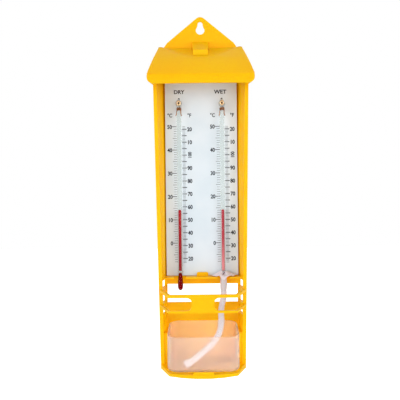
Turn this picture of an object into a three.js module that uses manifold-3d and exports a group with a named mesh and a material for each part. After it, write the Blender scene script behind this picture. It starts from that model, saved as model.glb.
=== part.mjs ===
// Wet and dry bulb hygrometer: a moulded case that hangs on a nail, a hood held by the case's latch,
// a scale plate, two spirit thermometers, and a water reservoir that feeds the wick of the wet bulb.
// Millimetres. +X is right, +Z is up, the wall is the plane y = 0 and the front looks along -Y.
// A level is a height above the underside of the case, a drop is a distance below its top,
// and a depth is a distance in front of the wall.

import * as THREE from 'three';
import { mergeVertices } from 'three/addons/utils/BufferGeometryUtils.js';
import Module from 'manifold-3d';

const wasm = await Module();
wasm.setup();

// Clearances shared by all pieces
const seatGap = 0.3;
const cutOverrun = 6;

// Case: back panel and flared side walls
const caseHeight = 325;
const caseWall = 2;
const sideWallThickness = 1.3;
const backHalfWidth = 35.3;
const rimDepth = 22;
const rimHalfWidthAtFoot = 37.9;
const rimHalfWidthAtTop = 42.8;
const wallTopDrop = 59;
const rimWidth = 1.9;
const rimProud = 0.5;
const rimFlange = 2.7;

// Hanger plate: the pointed head of the back panel, with its keyhole
const shoulderDrop = 24.4;
const shoulderHalfWidth = 31.5;
const cornerDrop = 28.1;
const cornerHalfWidth = 34.1;
const apexRadius = 5.6;
const nailSeatDrop = 6.5;
const nailSlotWidth = 4.8;
const nailHeadDiameter = 8.4;
const nailHeadDrop = 5.9;
const nailThroatShare = 0.9;

// Scale plate and what holds it
const plateWidth = 67;
const plateTopDrop = 43.3;
const plateThickness = 1;
const plateFootLevel = 81.7;
const plateBackDepth = 5;
const ribWidth = 3;
const ribInset = 8;
const shelfThickness = 1.3;
const shelfDepth = 16;
const shelfNotchWidth = 11.2;
const shelfNotchFloorDepth = 5.4;
const clipWidth = 10.7;
const clipHeight = 3.5;
const clipCornerRadius = 1.6;
const clipThickness = 1.4;

// Openings in the case round the bulbs
const windowTopLevel = 73.2;
const windowFootLevel = 55.8;
const windowHalfWidth = 33.2;
const sideWindowTopLevel = 78.8;
const sideWindowFootLevel = 47.2;
const upperBeltTopLevel = 71.6;
const upperBeltFootLevel = 65.7;
const lowerBeltTopLevel = 58;
const lowerBeltFootLevel = 51.8;
const sideWindowBackDepth = 2;

// Guard: two bars across the front, joined by a waisted medallion
const guardDepth = 49;
const guardHalfWidth = 29.4;
const guardThickness = 2.2;
const upperBarTopLevel = 71.9;
const upperBarHeight = 2.6;
const lowerBarTopLevel = 58.3;
const lowerBarHeight = 1.9;
const medallionWaist = 19.2;
const medallionTopFlare = 5.4;
const medallionFootFlare = 4.2;
const medallionTopCurve = 4.4;
const medallionFootCurve = 5.2;

// Floor that the reservoir stands on
const floorTopLevel = 4.2;
const floorThickness = 2;
const floorCornerDepth = 45.6;
const floorFrontDepth = 50;
const stopTabWidth = 17;
const stopTabHeight = 2.2;
const stopTabThickness = 1;
const lipCornerLevel = 1.9;
const lipMiddleLevel = 1;
const guideLevel = 31.7;
const guideFrontDepth = 20;

// Latch that holds the hood down
const latchWidth = 15.5;
const latchTaper = 1;
const latchTipDepth = 20;
const latchRootDrop = 23.3;
const latchTipThickness = 4.7;

// Hood: roof over the head of the case
const hoodWall = 2;
const hoodTopDrop = 29.6;
const hoodTopHalfWidth = 38.5;
const hoodTopDepth = 8;
const hoodShoulderDrop = 45.3;
const hoodShoulderHalfWidth = 43.1;
const hoodShoulderDepth = 24;
const hoodBendDrop = 60.5;
const hoodBendHalfWidth = 47;
const hoodBendDepth = 36;
const hoodCurlDrop = 65.4;
const hoodCurlHalfWidth = 47.2;
const hoodCurlDepth = 38.4;
const hoodFootDrop = 71;
const hoodFootHalfWidth = 47;
const hoodFootDepth = 39.4;
const hoodFootInset = 5.8;
const hoodBendInset = 2.4;
const hoodBackInset = 1.5;
const hoodSideRise = 7.5;
const hoodSideSetback = 2.4;
const hoodCornerSteps = 7;
const hoodBandSteps = 3;
const hoodFrontBow = 0.8;
const dishBackDepth = 3;
const dishBackDrop = 28.9;
const dishHalfWidth = 38.5;
const dishSlopeShare = 0.738;
const dishSteps = 20;
const dishDepthSteps = 6;
const hoodSlotHalfWidth = 10.4;
const hoodSlotTipHalfWidth = 7;
const hoodSlotDepth = 14;

// Thermometers
const stemSpacing = 40;
const stemShift = -0.6;
const stemDiameter = 4.4;
const stemStandoff = 1.4;
const boreDiameter = 1.7;
const neckLevel = 85.4;
const neckDiameter = 3;
const neckShoulder = 1.3;
const bulbDiameter = 4.9;
const bulbFootLevel = 68.5;
const glassWall = 0.5;
const spiritGap = 0.15;
const stemTopDrop = 85.4;
const eyeDrop = 83;
const eyeWidth = 5.6;
const eyeHeight = 7.8;
const eyeHoleDiameter = 3.2;
const eyeThickness = 3.2;
const waistDiameter = 2.6;
const waistFootDrop = 90;
const zeroLevel = 112;
const fiftyDrop = 104;
const readingAtRest = 14;
const meniscusHeight = 1.5;

// Bulb outline: shares of the bulb's radius and of its height up to the neck
const bulbShares = [[0, 0], [0.5, 0.03], [0.86, 0.1], [1, 0.22], [0.97, 0.42], [0.85, 0.68], [0.7, 0.88]];

// Eyelets, wires and small holes in the plate
const eyeletDiameter = 2.6;
const eyeletHoleDiameter = 1.5;
const eyeletFlangeDiameter = 4;
const eyeletFlangeThickness = 0.5;
const pinholeDiameter = 1.8;
const pinholeRise = 4.9;
const wireDiameter = 0.8;
const tieFootDrop = 94;
const tieKneeDrop = 92.8;
const tieCoilDrop = 89.5;
const tieTurns = 2.25;
const tiePitch = 0.95;
const tieLegSpread = 2;
const tieSplay = 0.7;
const clipWireDiameter = 0.5;
const neckClipLevel = 85.3;
const neckClipTail = 1.6;

// Wick: sleeve over the wet bulb, its thread, its spread mouth and its tail
const sleeveThickness = 0.4;
const sleeveTopLevel = 81.4;
const threadDiameter = 0.5;
const threadTurns = 2.5;
const threadPitch = 0.95;
const threadFootLevel = 83.3;
const mouthReach = 10.6;
const mouthFrontReach = 7.8;
const mouthBackReach = 3.4;
const mouthThickness = 0.4;
const mouthRise = 0.8;
const mouthFold = 0.3;
const mouthDroop = 2;
const mouthFolds = 5;
const tailDiameter = 5.2;

// Route of the wick's tail from under the bulb to the reservoir's floor: x, depth, level
const tailRoute = [
  [19.4, 9.6, 67.5], [19.5, 9.7, 65], [19.1, 10, 61], [17.9, 11, 56], [16.9, 12.2, 51],
  [16.6, 13.6, 46], [16.7, 15, 41], [16.1, 16.8, 36], [14.5, 19, 31.2], [11.3, 22, 26.6],
  [7.2, 25, 22.6], [2.4, 28, 19], [-2.6, 31, 15.8], [-7.6, 33.8, 12.8], [-12, 35.9, 10.5],
  [-15.8, 37.4, 9.4],
];

// Reservoir
const reservoirHalfWidth = 31.4;
const reservoirBackDepth = 2.6;
const reservoirFrontDepth = 45;
const reservoirFootLevel = 4.5;
const reservoirFrontRimLevel = 34.4;
const reservoirBackRimLevel = 38.8;
const reservoirCornerRadius = 9.5;
const reservoirFootRadius = 2.8;
const reservoirWall = 1.5;

const roundSides = 16;
const smallRoundSides = 10;
const wireSides = 6;

// Levels and depths that follow from the sizes above
const wallTopLevel = caseHeight - wallTopDrop;
const shoulderLevel = caseHeight - shoulderDrop;
const cornerLevel = caseHeight - cornerDrop;
const nailSeatLevel = caseHeight - nailSeatDrop;
const latchRootLevel = caseHeight - latchRootDrop;
const hoodTopLevel = caseHeight - hoodTopDrop;
const hoodShoulderLevel = caseHeight - hoodShoulderDrop;
const hoodBendLevel = caseHeight - hoodBendDrop;
const hoodCurlLevel = caseHeight - hoodCurlDrop;
const hoodFootLevel = caseHeight - hoodFootDrop;
const dishBackLevel = caseHeight - dishBackDrop;
const stemTopLevel = caseHeight - stemTopDrop;
const eyeLevel = caseHeight - eyeDrop;
const fiftyLevel = caseHeight - fiftyDrop;
const waistFootLevel = caseHeight - waistFootDrop;
const tieFootLevel = caseHeight - tieFootDrop;
const tieKneeLevel = caseHeight - tieKneeDrop;
const tieCoilLevel = caseHeight - tieCoilDrop;
const plateFrontDepth = plateBackDepth + plateThickness;
const plateTopLevel = caseHeight - plateTopDrop;
const hoodBackDepth = caseWall + seatGap;
const stemRadius = stemDiameter / 2;
const stemDepth = plateFrontDepth + stemStandoff + stemRadius;
const levelPerDegree = (fiftyLevel - zeroLevel) / 50;
const restLevel = zeroLevel + readingAtRest * levelPerDegree;
const shelfTopLevel = plateFootLevel - seatGap;
const shelfFootLevel = shelfTopLevel - shelfThickness;
const stemPlaces = [['dry', stemShift - stemSpacing / 2], ['wet', stemShift + stemSpacing / 2]];
const tieRadius = waistDiameter / 2 + seatGap / 2 + wireDiameter / 2;
const neckClipRadius = neckDiameter / 2 + seatGap + clipWireDiameter / 2;
const columnFootLevel = neckLevel + neckShoulder;

// Point at a width, a depth and a level
function at(x, depth, level) {
  return new THREE.Vector3(x, -depth, level);
}

// Closed geometry: shared vertices, no empty triangles, faces pointing out
function closed(source) {
  let geometry = source;
  geometry.deleteAttribute('normal');
  geometry.deleteAttribute('uv');
  geometry = mergeVertices(geometry, 1e-4);
  const kept = [];
  const index = geometry.index;
  for (let i = 0; i < index.count; i += 3) {
    const [a, b, c] = [index.getX(i), index.getX(i + 1), index.getX(i + 2)];
    if (a !== b && b !== c && c !== a) kept.push(a, b, c);
  }
  if (signedVolume(geometry, kept) < 0) kept.reverse();
  geometry.setIndex(kept);
  return geometry;
}

function signedVolume(geometry, index) {
  const position = geometry.attributes.position;
  const [a, b, c] = [new THREE.Vector3(), new THREE.Vector3(), new THREE.Vector3()];
  let total = 0;
  for (let i = 0; i < index.length; i += 3) {
    a.fromBufferAttribute(position, index[i]);
    b.fromBufferAttribute(position, index[i + 1]);
    c.fromBufferAttribute(position, index[i + 2]);
    total += a.dot(b.cross(c)) / 6;
  }
  return total;
}

function solid(source) {
  const geometry = closed(source);
  return new wasm.Manifold(new wasm.Mesh({
    numProp: 3,
    vertProperties: new Float32Array(geometry.attributes.position.array),
    triVerts: new Uint32Array(geometry.index.array),
  }));
}

function geometryOf(body) {
  const mesh = body.getMesh();
  const geometry = new THREE.BufferGeometry();
  geometry.setAttribute('position', new THREE.BufferAttribute(mesh.vertProperties, 3));
  geometry.setIndex(new THREE.BufferAttribute(mesh.triVerts, 1));
  return geometry;
}

// Solid between two levels, from an outline of [x, depth] points
function planSolid(outline, lowLevel, highLevel) {
  const shape = new THREE.Shape(outline.map(([x, depth]) => new THREE.Vector2(x, -depth)));
  const geometry = new THREE.ExtrudeGeometry(shape, { depth: highLevel - lowLevel, bevelEnabled: false });
  geometry.translate(0, 0, lowLevel);
  return solid(geometry);
}

// Solid between two depths, from a shape drawn in x and level
function frontSolid(shape, nearDepth, farDepth, curveSegments = 6) {
  const depth = farDepth - nearDepth;
  const geometry = new THREE.ExtrudeGeometry(shape, { depth, bevelEnabled: false, curveSegments });
  geometry.rotateX(Math.PI / 2);
  geometry.translate(0, -nearDepth, 0);
  return solid(geometry);
}

// Solid of a given width centred on x = 0, from an outline of [depth, level] points
function sideSolid(outline, width) {
  const shape = new THREE.Shape(outline.map(([depth, level]) => new THREE.Vector2(-depth, level)));
  const geometry = new THREE.ExtrudeGeometry(shape, { depth: width, bevelEnabled: false });
  geometry.translate(0, 0, -width / 2);
  const [alongX, alongY, alongZ] = [at(1, 0, 0), new THREE.Vector3(0, 1, 0), at(0, 0, 1)];
  geometry.applyMatrix4(new THREE.Matrix4().makeBasis(alongY, alongZ, alongX));
  return solid(geometry);
}

function block(lowX, highX, nearDepth, farDepth, lowLevel, highLevel) {
  const geometry = new THREE.BoxGeometry(highX - lowX, farDepth - nearDepth, highLevel - lowLevel);
  geometry.translate((lowX + highX) / 2, -(nearDepth + farDepth) / 2, (lowLevel + highLevel) / 2);
  return solid(geometry);
}

// Cylinder whose axis runs front to back
function frontCylinder(x, level, radius, nearDepth, farDepth, sides = roundSides) {
  const geometry = new THREE.CylinderGeometry(radius, radius, farDepth - nearDepth, sides);
  geometry.translate(x, -(nearDepth + farDepth) / 2, 0);
  geometry.translate(0, 0, level);
  return solid(geometry);
}

// Skin over rings of as many points each, with a cap on the first and the last ring
function loft(rings) {
  const count = rings[0].length;
  const positions = rings.flatMap((ring) => ring.flatMap((point) => point.toArray()));
  const index = [];
  for (let r = 0; r + 1 < rings.length; r += 1) {
    for (let i = 0; i < count; i += 1) {
      const [a, b] = [r * count + i, r * count + ((i + 1) % count)];
      index.push(a, b, b + count, a, b + count, a + count);
    }
  }
  const flat = rings[0].map((point) => new THREE.Vector2(point.x, point.y));
  const caps = THREE.ShapeUtils.triangulateShape(flat, []);
  if (THREE.ShapeUtils.isClockWise(flat)) caps.forEach((cap) => cap.reverse());
  const last = (rings.length - 1) * count;
  for (const [a, b, c] of caps) {
    index.push(a, c, b);
    index.push(last + a, last + b, last + c);
  }
  const geometry = new THREE.BufferGeometry();
  geometry.setAttribute('position', new THREE.Float32BufferAttribute(positions, 3));
  geometry.setIndex(index);
  return geometry;
}

// Body of revolution about a vertical axis at a width and the stems' depth, from [radius, level] points
function turned(profile, x, sides = roundSides) {
  const points = profile.map(([radius, level]) => new THREE.Vector2(radius, level));
  const geometry = new THREE.LatheGeometry(points, sides);
  geometry.rotateX(Math.PI / 2);
  geometry.translate(x, -stemDepth, 0);
  return closed(geometry);
}

function tube(path, diameter, sides, steps) {
  const section = new THREE.Shape();
  for (let i = 0; i < sides; i += 1) {
    const angle = (2 * Math.PI * i) / sides;
    const [x, y] = [Math.cos(angle) * diameter / 2, Math.sin(angle) * diameter / 2];
    if (i === 0) section.moveTo(x, y);
    else section.lineTo(x, y);
  }
  return closed(new THREE.ExtrudeGeometry(section, { steps, extrudePath: path }));
}

// Half-width of the side wall's outer face at a depth and a level
function wallHalfWidth(depth, level) {
  const rim = THREE.MathUtils.lerp(rimHalfWidthAtFoot, rimHalfWidthAtTop, level / wallTopLevel);
  return THREE.MathUtils.lerp(backHalfWidth, rim, depth / rimDepth);
}

// Slab that follows the side wall: between two offsets from its outer face, two depths and two levels
function wallSlab(side, outerOffset, innerOffset, nearDepth, farDepth, lowLevel, highLevel) {
  const rings = [lowLevel, highLevel].map((level) => [
    [wallHalfWidth(nearDepth, level) - outerOffset, nearDepth],
    [wallHalfWidth(farDepth, level) - outerOffset, farDepth],
    [wallHalfWidth(farDepth, level) - innerOffset, farDepth],
    [wallHalfWidth(nearDepth, level) - innerOffset, nearDepth],
  ].map(([x, depth]) => at(side * x, depth, level)));
  return solid(loft(rings));
}

function backPanel() {
  const apexCentre = caseHeight - apexRadius;
  const [dx, dz] = [shoulderHalfWidth, shoulderLevel - apexCentre];
  const tangent = Math.atan2(dz, dx) + Math.acos(apexRadius / Math.hypot(dx, dz));
  const outline = new THREE.Shape();
  outline.moveTo(-backHalfWidth, 0);
  outline.lineTo(backHalfWidth, 0);
  outline.lineTo(backHalfWidth, hoodTopLevel - hoodWall);
  outline.lineTo(cornerHalfWidth, cornerLevel);
  outline.lineTo(shoulderHalfWidth, shoulderLevel);
  outline.absarc(0, apexCentre, apexRadius, tangent, Math.PI - tangent, false);
  outline.lineTo(-shoulderHalfWidth, shoulderLevel);
  outline.lineTo(-cornerHalfWidth, cornerLevel);
  outline.lineTo(-backHalfWidth, hoodTopLevel - hoodWall);
  const nailHeadLevel = nailSeatLevel - nailHeadDrop;
  const throat = wasm.Manifold.hull([
    nailSlot(nailThroatShare * nailHeadDiameter / 2, nailHeadLevel),
    nailSlot(nailThroatShare * nailSlotWidth / 2, nailSeatLevel),
  ]);
  const keyhole = nailSlot(nailHeadDiameter / 2, nailHeadLevel)
    .add(nailSlot(nailSlotWidth / 2, nailSeatLevel)).add(throat);
  const window = block(
    -windowHalfWidth, windowHalfWidth,
    -cutOverrun, cutOverrun,
    windowFootLevel, windowTopLevel,
  );
  return frontSolid(outline, 0, caseWall).subtract(keyhole).subtract(window);
}

function nailSlot(radius, level) {
  return frontCylinder(0, level, radius, -cutOverrun, cutOverrun);
}

// One side wall with its rim, three windows between two belts, and the guide step beside the reservoir
function sideWall(side) {
  const windows = [
    [sideWindowFootLevel, lowerBeltFootLevel],
    [lowerBeltTopLevel, upperBeltFootLevel],
    [upperBeltTopLevel, sideWindowTopLevel],
  ];
  let wall = wallSlab(side, 0, sideWallThickness, 0, rimDepth, 0, wallTopLevel);
  for (const [footLevel, topLevel] of windows) {
    wall = wall.subtract(block(
      side > 0 ? 0 : -rimHalfWidthAtTop - cutOverrun,
      side > 0 ? rimHalfWidthAtTop + cutOverrun : 0,
      sideWindowBackDepth, rimDepth - rimWidth / 2,
      footLevel, topLevel,
    ));
  }
  const guideX = reservoirHalfWidth + 2 * seatGap;
  const backX = backHalfWidth - sideWallThickness / 2;
  const frontX = wallHalfWidth(guideFrontDepth, 0) - sideWallThickness / 2;
  const guideOutline = [[guideX, 0], [guideX, guideFrontDepth], [frontX, guideFrontDepth], [backX, 0]];
  const guide = planSolid(guideOutline.map(([x, depth]) => [side * x, depth]), 0, guideLevel);
  const rim = wallSlab(side, -rimProud, rimFlange, rimDepth - rimWidth, rimDepth, 0, wallTopLevel);
  return wall.add(guide).add(rim);
}

// Shelf under the scale plate, notched round each neck, with the clip that holds the plate
function shelf() {
  const reach = wallHalfWidth(shelfDepth, shelfTopLevel) - sideWallThickness / 2;
  const rootReach = backHalfWidth - sideWallThickness / 2;
  const outline = [[-rootReach, 0], [-reach, shelfDepth], [reach, shelfDepth], [rootReach, 0]];
  let body = planSolid(outline, shelfFootLevel, shelfTopLevel);
  for (const [, x] of stemPlaces) {
    body = body.subtract(block(
      x - shelfNotchWidth / 2, x + shelfNotchWidth / 2,
      shelfNotchFloorDepth, shelfDepth + cutOverrun,
      shelfFootLevel - cutOverrun, shelfTopLevel + cutOverrun,
    ));
  }
  const clipBack = plateFrontDepth + seatGap;
  const [half, top, round] = [clipWidth / 2, shelfTopLevel + clipHeight, clipCornerRadius];
  const clip = new THREE.Shape();
  clip.moveTo(-half, shelfFootLevel);
  clip.lineTo(half, shelfFootLevel);
  clip.absarc(half - round, top - round, round, 0, Math.PI / 2, false);
  clip.absarc(round - half, top - round, round, Math.PI / 2, Math.PI, false);
  return body.add(frontSolid(clip, clipBack, clipBack + clipThickness));
}

function plateRib(side) {
  const outerX = side * (plateWidth / 2 - ribInset);
  return block(
    outerX - ribWidth / 2, outerX + ribWidth / 2,
    caseWall / 2, plateBackDepth - seatGap,
    shelfFootLevel, plateTopLevel,
  );
}

// Outline of a guard bar: from rim to rim across the front, of one thickness in plan
function barOutline(level) {
  const rimX = wallHalfWidth(rimDepth, level);
  const slant = new THREE.Vector2(guardHalfWidth - rimX, guardDepth - rimDepth).normalize();
  const rimInnerX = rimX - guardThickness / slant.y;
  const innerCornerX = guardHalfWidth - guardThickness * (1 + slant.x) / slant.y;
  const anchorDepth = rimDepth - rimWidth / 2;
  const outer = [[rimX, anchorDepth], [rimX, rimDepth], [guardHalfWidth, guardDepth]];
  const inner = [[rimInnerX, anchorDepth], [rimInnerX, rimDepth], [innerCornerX, guardDepth - guardThickness]];
  const mirror = ([x, depth]) => [-x, depth];
  const mirroredOuter = outer.map(mirror).reverse();
  return [...outer, ...mirroredOuter, ...inner.map(mirror), ...inner.slice().reverse()];
}

function guard() {
  const upperFootLevel = upperBarTopLevel - upperBarHeight;
  const lowerFootLevel = lowerBarTopLevel - lowerBarHeight;
  const upper = planSolid(barOutline(upperBarTopLevel), upperFootLevel, upperBarTopLevel);
  const lower = planSolid(barOutline(lowerBarTopLevel), lowerFootLevel, lowerBarTopLevel);
  const waist = medallionWaist / 2;
  const topHalf = waist + medallionTopFlare;
  const footHalf = waist + medallionFootFlare;
  const topWaist = upperFootLevel - medallionTopCurve;
  const footWaist = lowerBarTopLevel + medallionFootCurve;
  const shape = new THREE.Shape();
  shape.moveTo(-topHalf, upperFootLevel + upperBarHeight / 2);
  shape.lineTo(-topHalf, upperFootLevel);
  shape.quadraticCurveTo(-waist, upperFootLevel, -waist, topWaist);
  shape.lineTo(-waist, footWaist);
  shape.quadraticCurveTo(-waist, lowerBarTopLevel, -footHalf, lowerBarTopLevel);
  shape.lineTo(-footHalf, lowerBarTopLevel - lowerBarHeight / 2);
  shape.lineTo(footHalf, lowerBarTopLevel - lowerBarHeight / 2);
  shape.lineTo(footHalf, lowerBarTopLevel);
  shape.quadraticCurveTo(waist, lowerBarTopLevel, waist, footWaist);
  shape.lineTo(waist, topWaist);
  shape.quadraticCurveTo(waist, upperFootLevel, topHalf, upperFootLevel);
  shape.lineTo(topHalf, upperFootLevel + upperBarHeight / 2);
  return upper.add(lower).add(frontSolid(shape, guardDepth - guardThickness, guardDepth));
}

// Outline of the floor, drawn in by an inset, with its front edge bowed forward
function floorOutline(inset) {
  const corner = guardHalfWidth - inset;
  const bow = floorFrontDepth - floorCornerDepth;
  const front = [1, 0.6, 0.2, -0.2, -0.6, -1].map((share) => [
    share * corner,
    floorCornerDepth - inset + bow * (1 - share * share),
  ]);
  const rim = rimHalfWidthAtFoot - inset;
  const back = backHalfWidth - inset;
  return [[back, inset], [rim, rimDepth], ...front, [-rim, rimDepth], [-back, inset]];
}

function floorSlab() {
  const recess = planSolid(floorOutline(caseWall), -cutOverrun, floorTopLevel - floorThickness);
  const tabDepth = floorFrontDepth - 2 * seatGap;
  const tab = block(
    -stopTabWidth / 2, stopTabWidth / 2,
    tabDepth - stopTabThickness, tabDepth,
    floorTopLevel - floorThickness, floorTopLevel + stopTabHeight,
  );
  const lip = [
    [rimDepth, 0], [floorCornerDepth, lipCornerLevel], [floorFrontDepth, lipMiddleLevel],
    [floorFrontDepth + cutOverrun, lipMiddleLevel], [floorFrontDepth + cutOverrun, -cutOverrun],
    [rimDepth, -cutOverrun],
  ];
  const lipRise = sideSolid(lip, 2 * (rimHalfWidthAtFoot + cutOverrun));
  return planSolid(floorOutline(0), 0, floorTopLevel).subtract(recess).subtract(lipRise).add(tab);
}

// Level of the hood's dished top at a width and a depth
function dishLevel(x, depth) {
  const slope = dishSlopeShare * (1 - (x / dishHalfWidth) ** 4);
  return dishBackLevel - slope * (depth - dishBackDepth);
}

function latch() {
  const tipFoot = dishLevel(0, latchTipDepth) + seatGap;
  const rootFoot = dishLevel(0, caseWall) + seatGap;
  const outline = [
    [caseWall / 2, rootFoot], [caseWall, rootFoot], [latchTipDepth, tipFoot],
    [latchTipDepth, tipFoot + latchTipThickness], [caseWall, latchRootLevel], [caseWall / 2, latchRootLevel],
  ];
  const flank = (side) => planSolid([
    [side * latchWidth / 2, 0], [side * (latchWidth / 2 - latchTaper), latchTipDepth + seatGap],
    [side * latchWidth, latchTipDepth + seatGap], [side * latchWidth, 0],
  ], tipFoot - cutOverrun, latchRootLevel + cutOverrun);
  return sideSolid(outline, latchWidth).subtract(flank(-1)).subtract(flank(1));
}

function caseBody() {
  let body = backPanel();
  for (const side of [-1, 1]) {
    body = body.add(sideWall(side)).add(plateRib(side));
  }
  return geometryOf(body.add(shelf()).add(guard()).add(floorSlab()).add(latch()));
}

// Ring round the hood at one section, drawn in by an inset and kept under a top level
function hoodRing({ level, halfWidth, depth, rise, cornerInset }, inset, backDepth, highest) {
  const frontDepth = depth - inset;
  const taper = Math.min(1, depth / hoodShoulderDepth);
  const sideX = halfWidth - inset;
  const sideDepth = frontDepth - hoodSideSetback * taper;
  const low = Math.min(level, highest);
  const sideLevel = Math.min(level + rise, highest);
  const back = at(sideX - hoodBackInset * taper, backDepth, sideLevel);
  const side = at(sideX, sideDepth, sideLevel);
  const corner = at(sideX, frontDepth, low);
  const front = at(sideX - cornerInset * taper, frontDepth, low);
  const middle = at(0, frontDepth + hoodFrontBow * taper, low);
  const bend = new THREE.QuadraticBezierCurve3(side, corner, front);
  const right = [back, ...bend.getPoints(hoodCornerSteps)];
  const left = right.map((point) => point.clone().setX(-point.x)).reverse();
  return [...right, middle, ...left];
}

// Everything above the dished top, lowered by a fall
function dishCutter(fall) {
  const nearDepth = -cutOverrun;
  const farDepth = (hoodShoulderDepth + hoodBendDepth) / 2;
  const topLevel = caseHeight + cutOverrun;
  const rings = [];
  for (let i = 0; i <= dishSteps; i += 1) {
    const x = THREE.MathUtils.lerp(-hoodTopHalfWidth, hoodTopHalfWidth, i / dishSteps);
    const ring = [at(x, nearDepth, dishLevel(x, dishBackDepth) - fall)];
    for (let j = 0; j <= dishDepthSteps; j += 1) {
      const depth = THREE.MathUtils.lerp(dishBackDepth, farDepth, j / dishDepthSteps);
      ring.push(at(x, depth, dishLevel(x, depth) - fall));
    }
    rings.push([...ring, at(x, farDepth, topLevel), at(x, nearDepth, topLevel)]);
  }
  return solid(sideLoft(rings));
}

// Loft whose rings stand across the X axis
function sideLoft(rings) {
  const toPlan = new THREE.Matrix4().makeBasis(at(0, 0, 1), at(1, 0, 0), new THREE.Vector3(0, 1, 0));
  const planRings = rings.map((ring) => ring.map((point) => point.clone().applyMatrix4(toPlan)));
  return loft(planRings).applyMatrix4(toPlan.clone().invert());
}

function hoodBody() {
  const knots = [
    [hoodFootHalfWidth, hoodFootDepth, hoodFootLevel, hoodSideRise],
    [hoodCurlHalfWidth, hoodCurlDepth, hoodCurlLevel, hoodSideRise / 2],
    [hoodBendHalfWidth, hoodBendDepth, hoodBendLevel, 0],
    [hoodShoulderHalfWidth, hoodShoulderDepth, hoodShoulderLevel, 0],
    [hoodTopHalfWidth, hoodTopDepth, hoodTopLevel, 0],
  ];
  const profile = new THREE.CatmullRomCurve3(knots.map(([x, y, z]) => new THREE.Vector3(x, y, z)));
  const bands = knots.length - 1;
  const sections = [];
  for (let i = 0; i <= bands * hoodBandSteps; i += 1) {
    const share = i / (bands * hoodBandSteps);
    const { x: halfWidth, y: depth, z: level } = profile.getPoint(share);
    const underBend = Math.max(0, 1 - share * bands / 2);
    const rise = hoodSideRise * underBend;
    const cornerInset = THREE.MathUtils.lerp(hoodBendInset, hoodFootInset, underBend ** 2);
    sections.push({ level, halfWidth, depth, rise, cornerInset });
  }
  const outer = sections.map((section) => hoodRing(section, 0, hoodBackDepth, hoodTopLevel));
  const openBack = hoodBackDepth - cutOverrun;
  const roof = hoodTopLevel - hoodWall;
  const inner = sections.map((section) => hoodRing(section, hoodWall, openBack, roof));
  const under = inner[0].map((point) => point.clone().setZ(point.z - cutOverrun));
  const hollow = solid(loft([under, ...inner])).subtract(dishCutter(hoodWall));
  const slotBack = hoodBackDepth - cutOverrun;
  const slot = planSolid([
    [-hoodSlotHalfWidth, slotBack], [-hoodSlotTipHalfWidth, hoodSlotDepth],
    [hoodSlotTipHalfWidth, hoodSlotDepth], [hoodSlotHalfWidth, slotBack],
  ], hoodBendLevel, caseHeight);
  return geometryOf(solid(loft(outer)).subtract(dishCutter(0)).subtract(hollow).subtract(slot));
}

function scalePlate() {
  let body = block(
    -plateWidth / 2, plateWidth / 2,
    plateBackDepth, plateFrontDepth,
    plateFootLevel, plateTopLevel,
  );
  const bore = (x, level, radius) => frontCylinder(x, level, radius, 0, shelfDepth, smallRoundSides);
  for (const [, x] of stemPlaces) {
    body = body.subtract(bore(x, eyeLevel, eyeletDiameter / 2 + seatGap));
    body = body.subtract(bore(x, eyeLevel + pinholeRise, pinholeDiameter / 2));
  }
  for (const side of [-1, 1]) {
    const clipX = stemPlaces[0][1] + side * neckClipRadius;
    body = body.subtract(bore(clipX, neckClipLevel, clipWireDiameter / 2 + seatGap));
  }
  return geometryOf(body);
}

// Bulb outline from its foot up to the neck, grown by a radial offset and drawn out at the foot
function bulbProfile(grow) {
  const foot = bulbFootLevel - grow;
  const rise = neckLevel - foot;
  const points = bulbShares.map(([radiusShare, heightShare]) => [
    radiusShare === 0 ? 0 : radiusShare * bulbDiameter / 2 + grow,
    foot + heightShare * rise,
  ]);
  return [...points, [neckDiameter / 2 + grow, neckLevel]];
}

// Glass of one thermometer: bulb, stem and flattened eye, hollow from the bulb up into the eye's hole
function thermometerGlass(x) {
  const boreRadius = boreDiameter / 2;
  const waistRadius = waistDiameter / 2;
  const waistShoulder = stemRadius - waistRadius;
  const outside = [
    ...bulbProfile(0), [stemRadius, columnFootLevel], [stemRadius, waistFootLevel - waistShoulder],
    [waistRadius, waistFootLevel], [waistRadius, stemTopLevel], [0, stemTopLevel],
  ];
  const cavity = bulbProfile(-glassWall).slice(0, -1);
  const bore = [...cavity, [boreRadius, columnFootLevel], [boreRadius, eyeLevel], [0, eyeLevel]];
  const nearDepth = stemDepth - eyeThickness / 2;
  const farDepth = stemDepth + eyeThickness / 2;
  const oval = new THREE.Shape().absellipse(x, eyeLevel, eyeWidth / 2, eyeHeight / 2, 0, 2 * Math.PI);
  const eye = frontSolid(oval, nearDepth, farDepth, roundSides / 2);
  const eyeHole = frontCylinder(x, eyeLevel, eyeHoleDiameter / 2, 0, 2 * stemDepth);
  return geometryOf(solid(turned(outside, x)).add(eye).subtract(eyeHole).subtract(solid(turned(bore, x))));
}

function bulbSpirit(x) {
  const neckRadius = boreDiameter / 2 - spiritGap;
  const topLevel = columnFootLevel - seatGap;
  const pool = bulbProfile(-glassWall - spiritGap).slice(0, -1);
  return turned([...pool, [neckRadius, columnFootLevel - 2 * seatGap], [neckRadius, topLevel], [0, topLevel]], x);
}

function boreCylinder(x, lowLevel, highLevel) {
  const radius = boreDiameter / 2 - spiritGap;
  return turned([[0, lowLevel], [radius, lowLevel], [radius, highLevel], [0, highLevel]], x, smallRoundSides);
}

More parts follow.
